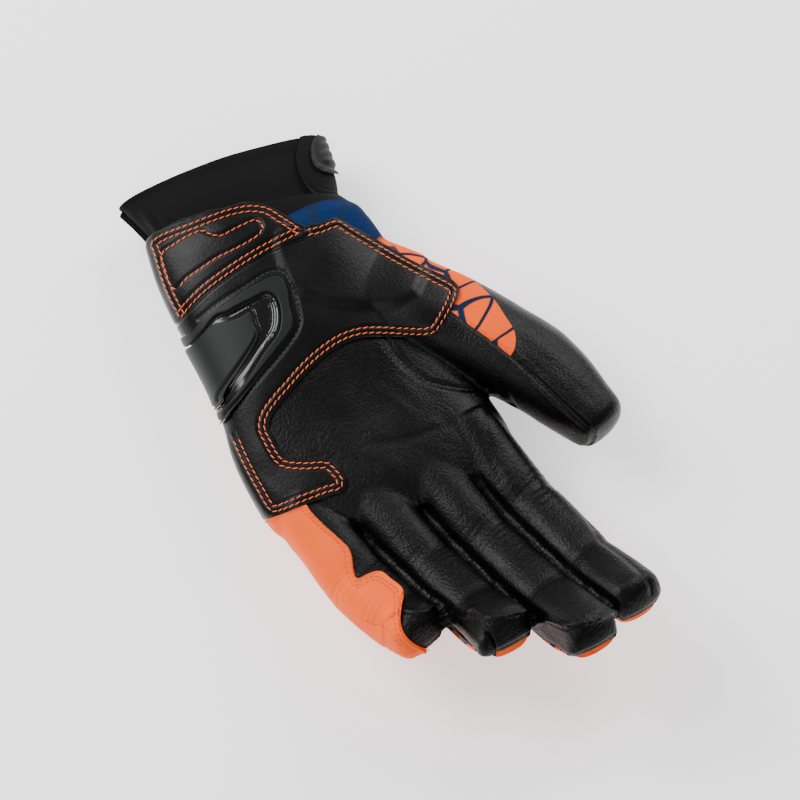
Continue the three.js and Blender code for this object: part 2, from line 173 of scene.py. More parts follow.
# %% Outlines read off the picture, in picture points
WRIST_END = [(60, 300), (95, 268), (134, 248), (149.5, 238), (164.7, 231), (189.6, 218), (215, 210),
             (238, 206), (252, 205.5), (267.5, 209.2), (284.1, 218), (296, 226), (307, 230), (320.6, 226),
             (334, 221), (342.2, 223.5), (355.4, 231), (368, 238), (390, 246), (440, 230), (440, 60),
             (60, 60)]
THUMB_OUTLINE = [(385.5, 338), (397.6, 356), (411.3, 369.8), (425.1, 380.1), (442.3, 384.6),
                 (461.3, 388.2), (480.2, 389), (492, 387.3), (499, 387), (530, 440), (640, 520),
                 (760, 520), (760, 150), (480, 180), (400, 215), (370, 250), (365, 290), (373, 318)]
CAP_OUTLINE = [(458, 255), (468.4, 274.6), (481.8, 287.1), (494.3, 299.6), (505, 315.7), (513.9, 330),
               (515.7, 340.7), (513, 352), (504, 362), (490, 374), (470, 394), (468, 440), (640, 560),
               (780, 540), (780, 120), (520, 160)]
WRIST_OUTLINE = [(95, 262), (134, 244), (149.5, 234.5), (164.7, 227.3), (189.6, 214), (215, 206.2),
                 (238, 202), (252, 201.5), (267.5, 205.2), (284.1, 214), (296, 222), (307, 227),
                 (308, 236), (274.5, 250), (247, 265.5), (224, 281), (207, 294.5), (192, 309), (178, 325),
                 (150, 352), (95, 400)]
HEEL_OUTLINE = [(307, 226), (320.6, 222.5), (334, 217.3), (342.2, 220), (355.4, 227.5), (380, 241.3),
                (405, 256.5), (433.6, 270.8), (451.4, 278.8), (458.6, 286.8), (459, 295), (451.4, 308.6),
                (440.7, 324.6), (433, 335), (428, 337.6), (415.7, 337.4), (386, 336.7), (366, 337),
                (351, 340.7), (336, 348.2), (321, 359.4), (306, 373.5), (292.8, 388.6), (279.7, 403.6),
                (270.4, 417.5), (268.5, 427.5), (273.2, 438), (280.5, 451.5), (286, 457.2), (303, 459.3),
                (328, 459.2), (338, 466.5), (346, 479.5), (344, 490), (329, 496), (304, 505),
                (283, 513.5), (270, 518), (250, 526), (150, 520), (95, 400), (150, 352), (178, 325),
                (192, 309), (207, 294.5), (224, 281), (247, 265.5), (274.5, 250), (308, 236)]
SIDE_OUTLINE = [(240, 524), (268, 518), (300, 506), (306.5, 505), (310.5, 511), (323.3, 524),
                (338, 537.2), (348.3, 547.5), (352, 556.3), (353.4, 568), (355.8, 577), (358, 578.3),
                (367.4, 573.9), (376.2, 571), (382.5, 571.7), (390.8, 578.3), (401.1, 586.4),
                (403.8, 592.2), (401.8, 604.7), (400.4, 620.8), (404, 632.6), (411.4, 641.4),
                (421.6, 647.2), (431.9, 651.6), (433, 656), (420, 690), (340, 700), (240, 600)]
GUSSET_OUTLINE = [(288, 216), (296, 211.5), (310, 204.5), (325, 200.3), (347, 198.8), (420, 190),
                  (420, 300), (300, 300), (270, 240)]
TAB_OUTLINE = [(299, 141), (296, 156), (300.5, 175), (309, 189.5), (319, 197), (332, 198.8), (347, 199.5),
               (400, 205), (400, 100), (306, 120)]
GRIP_OUTLINE = [(311, 148), (314.5, 165), (327, 172), (350, 172), (350, 126), (318, 134)]
LIPS = {
    "middle": [(546, 624), (550.2, 625.1), (565, 628.8), (583.5, 625.1), (602, 620.5), (620.4, 611.2),
               (628, 604)],
    "ring": [(472, 613), (477.1, 615.8), (483.6, 620.5), (500.2, 619.5), (518.7, 615.8), (535.4, 610.3),
             (546, 598)],
    "little": [(396, 614), (402.2, 614.5), (424.4, 614.9), (437.8, 607.6), (448.4, 604.7), (462, 600)],
}
INDEX_SEAM = [(548, 452), (566, 478), (583, 508), (600, 537), (621, 555), (640, 571.5), (653, 583),
              (657.5, 594)]
PALM_CREASES = [[(368, 445), (400, 441), (446, 427)], [(496, 398), (487, 420), (489, 450), (500, 480)]]

# %% [markdown]
# ## Curves and noise in numbers
# A few helpers work on whole arrays of points at once, which keeps a script with a hundred thousand
# points quick: a rounded curve through a table's points, the distance to such a curve, and a smooth
# noise whose values repeat exactly on every run because it is hashed, not drawn at random.


# %% Curve, distance and noise helpers
def rounded(points, closed=True, steps=8):
    """A centripetal Catmull-Rom curve through plan or picture points, steps points for each span."""
    p = np.array(points, float)
    count = len(p)
    spans = count if closed else count - 1
    out = []
    for i in range(spans):
        if closed:
            q = [p[(i + k) % count] for k in (-1, 0, 1, 2)]
        else:
            q = [p[i - 1] if i else 2 * p[0] - p[1], p[i], p[i + 1],
                 p[i + 2] if i + 2 < count else 2 * p[-1] - p[-2]]
        knots = [0.0]
        for a, b in zip(q, q[1:]):
            knots.append(knots[-1] + max(1e-6, np.linalg.norm(b - a) ** 0.5))
        t = np.linspace(knots[1], knots[2], steps, endpoint=False)[:, None]
        a1, a2, a3 = [((knots[k + 1] - t) * q[k] + (t - knots[k]) * q[k + 1]) / (knots[k + 1] - knots[k])
                      for k in range(3)]
        b1, b2 = [((knots[k + 2] - t) * a + (t - knots[k]) * b) / (knots[k + 2] - knots[k])
                  for k, a, b in ((0, a1, a2), (1, a2, a3))]
        out.append(((knots[2] - t) * b1 + (t - knots[1]) * b2) / (knots[2] - knots[1]))
    if not closed:
        out.append(p[-1:])
    return np.concatenate(out)


def seen_distance(points, *paths, closed=False, far=8.0):
    """Distance in mm, as the camera sees it, from each point to the nearest picture path, up to far."""
    dots = []
    for path in paths:
        ends = np.vstack([path, path[:1]]) if closed else np.asarray(path)
        for a, b in zip(ends, ends[1:]):
            count = max(1, int(np.linalg.norm(b - a) / 0.12))
            dots.append(a + np.arange(count)[:, None] / count * (b - a))
    dots = np.vstack(dots)
    tree = KDTree(len(dots))
    for i, (u, v) in enumerate(dots):
        tree.insert((u, v, 0.0), i)
    tree.balance()
    at = picture_of(points)
    margin = far / PIXEL
    near = np.all((at > dots.min(0) - margin) & (at < dots.max(0) + margin), axis=1)
    found = np.full(len(points), far)
    found[near] = [tree.find((u, v, 0.0))[2] * PIXEL for u, v in at[near]]
    return np.minimum(found, far)


def inside(points, path):
    """True for each plan point that lies inside a closed path."""
    found = np.zeros(len(points), bool)
    for a, b in zip(path, np.roll(path, -1, axis=0)):
        crosses = (a[1] > points[:, 1]) != (b[1] > points[:, 1])
        rise = b[1] - a[1] if abs(b[1] - a[1]) > 1e-9 else 1e-9
        found ^= crosses & (points[:, 0] < (b[0] - a[0]) * (points[:, 1] - a[1]) / rise + a[0])
    return found


def offset_path(path, out):
    """A closed path with its edge moved outwards."""
    area = np.sum(path[:, 0] * np.roll(path[:, 1], -1) - np.roll(path[:, 0], -1) * path[:, 1])
    run = np.roll(path, -1, axis=0) - np.roll(path, 1, axis=0)
    run /= np.linalg.norm(run, axis=1)[:, None]
    return path + np.stack([run[:, 1], -run[:, 0]], axis=1) * out * math.copysign(1, area)


def smooth_step(low, high, value):
    """0 up to low and 1 from high on, with a smooth rise between them."""
    share = np.clip((value - low) / (high - low), 0, 1)
    return share * share * (3 - 2 * share)


def bell(distance, width):
    """1 at no distance, falling to 0 on both sides."""
    return np.exp(-((distance / width) ** 2))


def noise(points, size, seed):
    """Smooth noise from -1 to 1 at points in mm, its cells size mm across."""
    at = np.asarray(points, float) / size
    cell = np.floor(at).astype(np.int64)
    share = at - cell
    share = share * share * (3 - 2 * share)
    total = np.zeros(len(at))
    for corner in range(8):
        step = np.array([corner & 1, corner >> 1 & 1, corner >> 2 & 1])
        key = cell + step
        mixed = key[:, 0] * 73856093 ^ key[:, 1] * 19349663 ^ key[:, 2] * 83492791 ^ seed * 2654435761
        mixed = (mixed ^ mixed >> 13) * 1274126177 & 0xFFFFFFFF
        value = ((mixed ^ mixed >> 16) & 0xFFFF) / 32767.5 - 1
        weight = np.prod(np.where(step == 1, share, 1 - share), axis=1)
        total += weight * value
    return total


# %% [markdown]
# ## Mesh helpers
# Every piece is made in millimetres and shrunk to metres at the end. The boolean solver named MANIFOLD
# is the right one here: it is fast on dense closed meshes, and each cut leaves a closed mesh again.


# %% Mesh helpers
def points_of(mesh):
    flat = np.empty(len(mesh.vertices) * 3, np.float32)
    mesh.vertices.foreach_get("co", flat)
    return flat.reshape(-1, 3).astype(float)


def normals_of(mesh):
    flat = np.empty(len(mesh.vertices) * 3, np.float32)
    mesh.vertex_normals.foreach_get("vector", flat)
    return flat.reshape(-1, 3).astype(float)


def set_points(mesh, points):
    mesh.vertices.foreach_set("co", np.asarray(points, np.float32).ravel())
    mesh.update()


def to_mesh(bm, name):
    mesh = bpy.data.meshes.new(name)
    bm.to_mesh(mesh)
    bm.free()
    return mesh


def with_modifiers(mesh, *settings, heights=None):
    """A new mesh after the modifiers, each a kind with its settings; heights fill a vertex group."""
    made = placed("work", mesh)
    if heights is not None:
        group = made.vertex_groups.new(name="height")
        for index, value in enumerate(heights):
            group.add([index], float(value), "REPLACE")
    helpers = []
    for kind, values in settings:
        modifier = made.modifiers.new(kind.lower(), kind)
        for key, value in values.items():
            if isinstance(value, bpy.types.Mesh):
                value = placed("helper", value)
                helpers.append(value)
            setattr(modifier, key, value)
    graph = bpy.context.evaluated_depsgraph_get()
    result = bpy.data.meshes.new_from_object(made.evaluated_get(graph), depsgraph=graph)
    for each in [made] + helpers:
        bpy.data.objects.remove(each)
    return result


def boolean(mesh, operation, other):
    return with_modifiers(mesh, ("BOOLEAN", dict(operation=operation, solver="MANIFOLD", object=other)))


def loft(rings, capped=True):
    """Joins a stack of rings of equal counts into one tube, starting from round circles."""
    bm = bmesh.new()
    loops = []
    for ring in rings:
        made = bmesh.ops.create_circle(bm, segments=len(ring), radius=1.0, cap_ends=False)
        for vert, place in zip(made["verts"], ring):
            vert.co = place
        loops.append(sorted({edge for vert in made["verts"] for edge in vert.link_edges},
                            key=lambda edge: edge.index))
    for one, two in zip(loops, loops[1:]):
        bmesh.ops.bridge_loops(bm, edges=one + two)
    if capped:
        bmesh.ops.holes_fill(bm, edges=bm.edges, sides=0)
    bmesh.ops.recalc_face_normals(bm, faces=bm.faces)
    if capped and bm.calc_volume(signed=True) < 0:
        bmesh.ops.reverse_faces(bm, faces=bm.faces)
    return to_mesh(bm, "loft")


def prism(path, low, high):
    """An upright block with a plan outline."""
    bm = bmesh.new()
    bottom = [bm.verts.new((x, y, low)) for x, y in path]
    face = bm.faces.new(bottom)
    made = bmesh.ops.extrude_face_region(bm, geom=[face])
    moved = [item for item in made["geom"] if isinstance(item, bmesh.types.BMVert)]
    bmesh.ops.translate(bm, verts=moved, vec=(0, 0, high - low))
    bmesh.ops.recalc_face_normals(bm, faces=bm.faces)
    return to_mesh(bm, "prism")


def seen_block(path, low, high):
    """A block whose sides run along the camera's rays through a closed picture path."""
    eye = LOOK_AT + toward_camera * DISTANCE - SHIFT
    bm = bmesh.new()
    corners = []
    for u, v in path:
        start, way = picture_ray(u, v)
        corners.append(bm.verts.new(start - SHIFT + way * ((low - eye.z) / way.z)))
    made = bmesh.ops.extrude_face_region(bm, geom=[bm.faces.new(corners)])
    for item in made["geom"]:
        if isinstance(item, bmesh.types.BMVert):
            item.co = eye + (item.co - eye) * ((high - eye.z) / (low - eye.z))
    bmesh.ops.recalc_face_normals(bm, faces=bm.faces)
    return to_mesh(bm, "block")


def join_meshes(meshes):
    bm = bmesh.new()
    for mesh in meshes:
        bm.from_mesh(mesh)
    return to_mesh(bm, "joined")


# %% [markdown]
# ## The glove's form
# A real glove is sewn from flat leather, but worn leather takes the hand's round form. So the form
# starts as tubes: one for the palm and one for each finger, with the same sections as the solids,
# only finer. A voxel remesh then welds them into one skin, and smoothing fillets the crotches between
# the fingers, as soft leather does.


# %% Sections
def rounded_square(count, square):
    angle = np.arange(count) * 2 * math.pi / count
    c, s = np.cos(angle), np.sin(angle)
    return np.sign(c) * np.abs(c) ** (2 / square), np.sign(s) * np.abs(s) ** (2 / square)


def smooth_rows(rows, spacing):
    """Rows between the rows of a table, every few mm along y, on a smooth curve through them."""
    table = np.array(rows, float)
    wanted = max(2, round(float(np.abs(table[0, 1] - table[-1, 1])) / spacing))
    steps = max(2, round(wanted / (len(table) - 1)))
    return rounded(table, closed=False, steps=steps)


def tube_rings(rows, floor, count=72, spacing=4.0):
    """The rings of a tube through a table's sections, flattened where they reach the floor."""
    rings = []
    for x, y, slant, half, back, palm, side, square in smooth_rows(rows, spacing):
        c, s = rounded_square(count, square)
        z = np.maximum(side + s * np.where(s > 0, palm - side, side - back), floor)
        a = math.radians(slant)
        across = c * half
        rings.append(np.stack([x + across * math.cos(a), y + across * math.sin(a), z], axis=1))
    return rings


def along_bones(values, bones, s):
    """A bone's angle at distance s, turning over 24 mm round each joint."""
    at, value = 0.0, values[0]
    for j in range(len(values) - 1):
        at += bones[j]
        value += (values[j + 1] - values[j]) * float(smooth_step(-12, 12, s - at))
    return value


def along_sleeve(values, bones, s):
    """A size at distance s, straight between the joints."""
    return float(np.interp(s, np.concatenate([[0], np.cumsum(bones)]), values))


def limb_axes(limb, at):
    """A limb's directions at a distance along it: forwards, to its side and up out of its pad."""
    keys = ("heading", "rise", "roll")
    h, r, roll = [math.radians(along_bones(limb[key], limb["bone"], at)) for key in keys]
    side = np.array([math.cos(h), math.sin(h), 0.0])
    up = np.array([-math.sin(h) * math.sin(r), math.cos(h) * math.sin(r), math.cos(r)])
    forward = np.array([math.sin(h) * math.cos(r), -math.cos(h) * math.cos(r), math.sin(r)])
    c, s = math.cos(roll), math.sin(roll)
    return forward, side * c + up * s, up * c - side * s


def limb_line(limb):
    """The centre line of a limb at every mm: distance, place, axes, half width, half depth and seam."""
    place = np.array(limb["root"], float)
    rows = []
    for s in np.arange(0, sum(limb["bone"]) + 0.5, 1.0):
        if s > 0:
            place = place + limb_axes(limb, s - 0.5)[0]
        sizes = [along_sleeve(limb[key], limb["bone"], s) for key in ("width", "depth", "seam")]
        rows.append((s, place, *limb_axes(limb, s), sizes[0] / 2, sizes[1] / 2, sizes[2]))
    return rows


LINES = {name: limb_line(limb) for name, limb in LIMBS.items()}


def limb_rings(name, count=40, every=3):
    """The rings of a finger or the thumb, the last ones shrinking to its rounded end."""
    line = LINES[name]
    straight = line[-1][0] - TIP_ROUND
    rings = []
    c, s = rounded_square(count, 2.5)
    rounding = [(straight + TIP_ROUND * k, (1 - k ** 2.6) ** (1 / 2.6)) for k in
                (0.2, 0.4, 0.55, 0.7, 0.8, 0.88, 0.94, 0.98, 0.995)]
    stops = [(row[0], 1.0) for row in line if row[0] < straight and row[0] % every == 0] + rounding
    for at, shrink in stops:
        row = line[min(len(line) - 1, int(at))]
        place = row[1] + row[2] * (at - row[0])
        half, deep = row[5] * shrink, row[6] * shrink
        rings.append(place + np.outer(c * half, row[3]) + np.outer(s * deep, row[4]))
    return rings


# %% Skin
VOXEL, FLOOR = 1.0, 5.0
tubes = [loft(tube_rings(HAND, FLOOR))] + [loft(limb_rings(name)) for name in LIMBS]
plain_skin = with_modifiers(
    join_meshes(tubes),
    ("REMESH", dict(mode="VOXEL", voxel_size=VOXEL, adaptivity=0.0)),
    ("SMOOTH", dict(factor=0.5, iterations=10)),
)
print("plain skin:", len(plain_skin.vertices), "points")

# %% Which limb each point belongs to
skin_points = points_of(plain_skin)
skin_normals = normals_of(plain_skin)
limb_names = list(LIMBS)
LIMB_REACH = 95.0  # mm from a limb's middle within which its points are sought
OWN_SHARE, FAR_SHARE = 1.12, 9.0  # a point's distance in half widths: the most for a limb's own, and far


def limb_places(points):
    """For each point: its limb's number (-1 for the hand), distance along, places across and up, the
    seam's place, and how clear it is of the next limb."""
    count = len(points)
    owner, nearest = np.full(count, -1), np.full(count, OWN_SHARE)
    first, second = np.full(count, FAR_SHARE), np.full(count, FAR_SHARE)
    along, across, up, seam = np.zeros((4, count))
    for number, name in enumerate(limb_names):
        line = LINES[name]
        places = np.array([row[1] for row in line])
        near = np.where(np.linalg.norm(points - places.mean(0), axis=1) < LIMB_REACH)[0]
        tree = KDTree(len(places))
        for i, place in enumerate(places):
            tree.insert(place, i)
        tree.balance()
        index = np.array([tree.find(points[i])[1] for i in near], int)
        offset = points[near] - places[index]
        columns = [np.array([row[k] for row in line])[index] for k in range(2, 8)]
        ahead, side, pad, half, deep, low = columns
        x = np.einsum("ij,ij->i", offset, side)
        y = np.einsum("ij,ij->i", offset, pad)
        reach = ((np.abs(x) / half) ** 2.5 + (np.abs(y) / deep) ** 2.5) ** 0.4
        away = np.full(count, FAR_SHARE)
        away[near[index > 0]] = reach[index > 0]
        second = np.where(away < first, first, np.minimum(second, away))
        first = np.minimum(first, away)
        better = (reach < nearest[near]) & (index > 0)
        chosen = near[better]
        owner[chosen], nearest[chosen] = number, reach[better]
        along[chosen] = index[better] + np.einsum("ij,ij->i", offset, ahead)[better]
        across[chosen], up[chosen] = x[better], y[better]
        seam[chosen] = low[better]
    crowded = smooth_step(0.4, 0.05, second - first) * smooth_step(1.6, 1.25, second)
    return owner, along, across, up, seam, 1 - crowded * smooth_step(6, 32, along) * (owner >= 0)


owner, along, across, up, seam_low, clear = limb_places(skin_points)
print("points on each limb:", {name: int((owner == i).sum()) for i, name in enumerate(limb_names)})

# %% [markdown]
# ## Folds, seams and channels
# The leather is moved along its own normals. Each rule adds one thing that leather does: broad soft
# swells, fine folds across each finger joint, rolled edges at the seams and a dip along the stitches.
# Moving points in code keeps every fold where the real one lies, which a cloth simulation would not.

# %% Folds
plan = skin_points[:, :2]
pad_side = smooth_step(-0.2, 0.5, skin_normals[:, 2])
move = 0.55 * noise(skin_points, 26, 1) + 0.3 * noise(skin_points, 11, 2)
JOINT_FOLDS = [(13, 3.6, 0.24), (9, 3.0, 0.2)]  # at a finger's two joints: reach, pitch and depth in mm
VALLEY_DEPTH = 1.7  # of the dip where two fingers meet

for number, name in enumerate(limb_names[:-1]):
    mine = owner == number
    bones = LIMBS[name]["bone"]
    joints = [bones[0], bones[0] + bones[1]]
    wander = 2.2 * noise(skin_points[mine], 14, 10 + number) + 0.12 * across[mine]
    for joint, (reach, pitch, depth) in zip(joints, JOINT_FOLDS):
        share = bell(along[mine] - joint, reach) * smooth_step(-4, 5, up[mine])
        wave = np.cos(2 * math.pi * (along[mine] - joint + wander) / pitch)
        patchy = 0.55 + 0.45 * noise(skin_points[mine], 9, 30 + number)
        move[mine] += depth * share * patchy * (wave - 0.35)
    broad = bell(along[mine] - joints[0], 5) + bell(along[mine] - joints[1], 4)
    move[mine] -= 0.7 * broad * smooth_step(0, 8, up[mine])

# Fine folds fan over the palm towards the finger roots.
fan = np.stack([plan[:, 0] + plan[:, 1] * 0.25, plan[:, 1] * 0.18, np.zeros(len(plan))], axis=1)
palm_share = pad_side * smooth_step(20, -10, plan[:, 1]) * smooth_step(-62, -45, plan[:, 1])
move += 0.2 * palm_share * noise(fan, 4.2, 4)

# Where two fingers meet, the folds die out and the leather dips.
move = move * clear - VALLEY_DEPTH * (1 - clear)

# %% Seams pull the leather in
skin_picture = picture_of(skin_points)
front = skin_normals @ view > 0.1
on_index, on_thumb = owner == limb_names.index("index"), owner == limb_names.index("thumb")


def groove(distance, width, depth):
    """A dip along a line."""
    return -depth * bell(distance, width)


# Each line in the picture: its points, where it counts, and the width and depth of its groove.
SEAM_LINES = [(THUMB_OUTLINE[:10], front, 1.3, 1.0), (INDEX_SEAM, front & on_index, 1.1, 0.6),
              *[(crease, front, 1.8, 0.3) for crease in PALM_CREASES]]
for line, where, width, depth in SEAM_LINES:
    move += where * groove(seen_distance(skin_points, rounded(line, closed=False)), width, depth)
level = np.where(owner >= 0, up + seam_low, skin_points[:, 2] - HAND_MIDDLE + HAND_SEAM)
ends = np.array([sum(LIMBS[name]["bone"]) for name in limb_names] + [0.0])
to_end = ends[owner] - along
open_seam = np.where(on_thumb, smooth_step(58, 70, along), smooth_step(30, 22, to_end))
open_seam = np.where(owner < 0, smooth_step(0.8, 0.5, np.abs(skin_normals[:, 2])), open_seam)
rolled = 0.45 * bell(np.abs(level) - 1.8, 1.0) * on_thumb
move += (groove(level, 1.2, 0.8) + rolled) * open_seam * clear * (skin_points[:, 2] > 8)

# The tips are pressed a little flatter than a dome.
heading = np.array([LINES[name][-1][2] for name in limb_names] + [(0, 0, 0)])
facing_end = np.clip(np.einsum("ij,ij->i", skin_normals, heading[owner]), 0, 1)
move -= np.where(owner >= 0, 3.2 * facing_end * smooth_step(14, 6, to_end), 0)
below_seam = smooth_step(0, -3, level) * smooth_step(24, 10, to_end)
move -= np.where((owner >= 0) & ~on_thumb, 2.4 * below_seam * (1 - 0.5 * facing_end), 0)
move -= np.where(on_thumb, 1.3 * smooth_step(34, 8, to_end), 0)

# %% The fingertips' lips and the gusset's swell
# Each lip is closed to a path round all of the picture that the fingertip past it can cover.
tip_paths = {}
for name, lip in LIPS.items():
    path = rounded(lip, closed=False)
    (left, left_down), (right, right_down) = lip[0], lip[-1]
    below = [(right + 22, right_down + 6), (right + 12, right_down + 70), (left - 8, left_down + 60),
             (left - 14, left_down + 8)]
    tip_paths[name] = np.vstack([path, below])
    mine = (owner == limb_names.index(name)) & front
    away = seen_distance(skin_points, path)
    above = ~inside(skin_picture, tip_paths[name])
    ridge = bell(away - 1.5, 1.1) * above
    move += mine * (ridge + groove(away, 0.8, 0.8) - 0.7 * smooth_step(0.3, 2.0, away) * ~above)
gusset_path = rounded(GUSSET_OUTLINE, steps=4)
swell = smooth_step(0, 5, seen_distance(skin_points, gusset_path, closed=True))
move += 1.2 * front * (inside(skin_picture, gusset_path) * swell)

# %% The wrinkled skin
skin = plain_skin.copy()
flat_back = smooth_step(0.6, 3.0, skin_points[:, 2] - FLOOR)
set_points(skin, skin_points + skin_normals * (move * flat_back)[:, None])
print("moved by", round(float(move.min()), 2), "to", round(float(move.max()), 2), "mm")


# %% [markdown]
# ## Cutting the pieces
# The skin is opened at the wrist and given a wall inwards, so the glove is hollow. Blocks then cut the
# wall into its pieces. A pad zone, made of boxes that follow the fingers, parts the leather on the palm
# side from the cloth on the back.


# %% Zones
def boxed(rows):
    """A loft through rectangles, each given by its centre, two axes and its low and high corner shares."""
    return loft([[place + a * x + b * y for x, y in ((low[0], low[1]), (high[0], low[1]),
                                                    (high[0], high[1]), (low[0], high[1]))]
                 for place, a, b, low, high in rows])


def hand_zone(extra):
    rows = []
    table = np.array(HAND, float)
    first = table[0].copy()
    first[1] += 30
    for x, y, slant, half, back, palm, side, square in np.vstack([first, smooth_rows(HAND, 6.0)]):
        a = math.radians(slant)
        reach = half + 2 + extra
        axis = np.array([math.cos(a), math.sin(a), 0])
        place, up_axis = np.array([x, y - extra, side]), np.array([0, 0, 1.0])
        rows.append((place, axis, up_axis, (-reach, -HAND_SEAM - extra), (reach, 60)))
    return boxed(rows)


def limb_zone(name, extra):
    rows = []
    line = LINES[name]
    for row in [line[0]] + line[3::3] + [line[-1]]:
        reach, high = row[5] + 2.5, row[6] + 3
        rows.append((row[1], row[3], row[4], (-reach, -row[7] - extra), (reach, high)))
    last = rows[-1]
    rows.append((last[0] + line[-1][2] * 3.0, *last[1:]))
    return boxed(rows)


def pad_zone(extra):
    whole = hand_zone(extra)
    for name in LIMBS:
        whole = boolean(whole, "UNION", limb_zone(name, extra))
    return whole


def tip_zone(name):
    """The end of a finger past its lip: a box round its last part, cut along the picture's rays."""
    line = LINES[name]
    rows = [(row[1], row[3], row[4], (-row[5] - 2, -row[7] - 2), (row[5] + 2, row[6] + 5))
            for row in line[-32:]]
    rows.append((rows[-1][0] + line[-1][2] * 4.0, *rows[-1][1:]))
    return boolean(boxed(rows), "INTERSECT", seen_block(tip_paths[name], BOTTOM, TOP))


# %% Shell
def opened(mesh, depth):
    """The skin without its end at the wrist, which reaches depth mm in."""
    bm = bmesh.new()
    bm.from_mesh(mesh)
    a = math.radians(HAND[0][2])
    normal = Vector((-math.sin(a), math.cos(a), 0))
    place = Vector((HAND[0][0], HAND[0][1], CUFF_MIDDLE)) - normal * depth
    bmesh.ops.bisect_plane(bm, geom=bm.verts[:] + bm.edges[:] + bm.faces[:], plane_co=place,
                           plane_no=normal, clear_outer=True)
    return to_mesh(bm, "opened")


WRIST_TRIM = 1.5
whole_wall = ("SOLIDIFY", dict(thickness=WALL, offset=-1.0, use_rim=True))
shell = with_modifiers(opened(skin, WRIST_TRIM), whole_wall)
pad_shell = boolean(shell, "INTERSECT", pad_zone(0.0))
back_shell = boolean(shell, "DIFFERENCE", pad_zone(SEAM_GAP))
print("shell:", len(shell.polygons), "faces, pad side:", len(pad_shell.polygons))

# %% [markdown]
# ## The palm, the thumb, the back and the tips
# The outlines read off the picture part the wall here. Each cut runs along the camera's rays, so a seam
# shows where the real one does, and it leaves no gap, which would let light through. Both edges lie in
# the groove made above, as two turned leather edges do.

# %% Base pieces
pieces = {}
thumb_path, cap_path, end_path, wrist_path, heel_path, side_path = [rounded(path, steps=4) for path in (
    THUMB_OUTLINE, CAP_OUTLINE, WRIST_END, WRIST_OUTLINE, HEEL_OUTLINE, SIDE_OUTLINE)]


def without_slivers(mesh, share=0.05):
    """Drops the loose bits that a cut may shave off."""
    bm = bmesh.new()
    bm.from_mesh(mesh)
    seen, groups = set(), []
    for start in bm.verts:
        if start.index in seen:
            continue
        seen.add(start.index)
        group, stack = [], [start]
        while stack:
            vert = stack.pop()
            group.append(vert)
            for edge in vert.link_edges:
                other = edge.other_vert(vert)
                if other.index not in seen:
                    seen.add(other.index)
                    stack.append(other)
        groups.append(group)
    largest = max(len(group) for group in groups)
    small = [vert for group in groups if len(group) < share * largest for vert in group]
    bmesh.ops.delete(bm, geom=small, context="VERTS")
    return to_mesh(bm, mesh.name)


def beyond(path, gap=0.0):
    """The block of a picture path from below to above everything, grown by a gap in mm."""
    return seen_block(offset_path(path, gap / PIXEL) if gap else path, BOTTOM, TOP)


palm = boolean(pad_shell, "DIFFERENCE", beyond(end_path))
pieces["thumb_leather"] = without_slivers(boolean(palm, "INTERSECT", beyond(thumb_path)))
palm = boolean(palm, "DIFFERENCE", beyond(thumb_path))
for name in LIPS:
    palm = boolean(palm, "DIFFERENCE", tip_zone(name))
    pieces[name + "_tip"] = without_slivers(boolean(pad_shell, "INTERSECT", tip_zone(name)))
pieces["palm_leather"] = without_slivers(palm)
wrist_end = boolean(pad_shell, "INTERSECT", beyond(end_path))
pieces["wrist_gusset"] = without_slivers(boolean(wrist_end, "INTERSECT", beyond(gusset_path)))
cuff_root = without_slivers(boolean(wrist_end, "DIFFERENCE", beyond(gusset_path)))
pieces["thumb_cap"] = without_slivers(boolean(back_shell, "INTERSECT", beyond(cap_path)))
pieces["back_cloth"] = without_slivers(boolean(back_shell, "DIFFERENCE", beyond(cap_path)))
print({name: len(mesh.polygons) for name, mesh in pieces.items()})

# %% [markdown]
# ## Rows of stitches
# Each row is read off the picture as a short run of points, and sent back along the camera's rays onto
# the leather, so it lies where the real one does. The same rows press a shallow channel into the
# overlays, because a lockstitch pulls the leather down.

# %% Rows, in picture points
WRIST_ROW = [(180, 317), (167.4, 292.2), (160.1, 271.1), (155, 253.9), (152, 244), (157, 238),
             (192.3, 223.3), (217.1, 213.7), (236.3, 208), (251.6, 206.1), (266.9, 208.4), (282.2, 217.6),
             (302, 230.5)]
DIVIDER_ROW = [(300, 232.5), (274.5, 245.3), (247.7, 260.6), (224.8, 275.9), (205.7, 290.3),
               (190.4, 305.6), (181, 317)]
FIGURE_ROW = [(176, 289.3), (169.3, 282.6), (164.5, 271.1), (161.7, 259.7), (163.6, 252), (173.1, 245.3),
              (186.5, 236.7), (201.8, 231), (211.4, 234.8), (221, 235.7), (232.4, 230), (243.9, 224.3),
              (255.4, 220.4), (262.1, 225.2), (260.2, 232.9), (251.6, 239.6), (236.3, 248.2),
              (217.1, 257.7), (199.9, 269.2), (186.5, 278.8)]
HEEL_ROW = [(306, 230.5), (320.4, 226.8), (337.7, 221.4), (350, 228.5), (370, 240.5), (394.1, 254.8),
            (411.3, 264.3), (438.9, 278.8), (449.8, 284.6), (455, 289.5), (453.5, 299), (445.8, 314.7),
            (434.6, 331.2), (425.1, 334), (404.4, 333.7), (383.6, 332.9), (364.4, 333.3), (349.1, 337.1),
            (333.8, 344.8), (318.5, 356.3), (303.2, 370.6), (289.8, 385.9), (276.4, 401.2), (266.5, 416),
            (264.5, 428), (269.7, 440), (277.4, 454.3), (284, 461), (302.7, 463.3), (327.1, 463.2),
            (335, 469.5), (342, 480), (340.5, 487.5), (327.1, 492), (302.7, 501.2), (281.2, 509.8),
            (272, 510.5), (256.7, 487.5), (243, 461.4), (232, 436)]
THUMB_ROW = [(378.6, 340.5), (383.8, 350.9), (392.4, 361.2), (401, 369.8), (411.3, 376.7), (423.4, 384.5),
             (435.4, 389.6), (445.8, 392.2), (460, 393.9), (478, 395)]
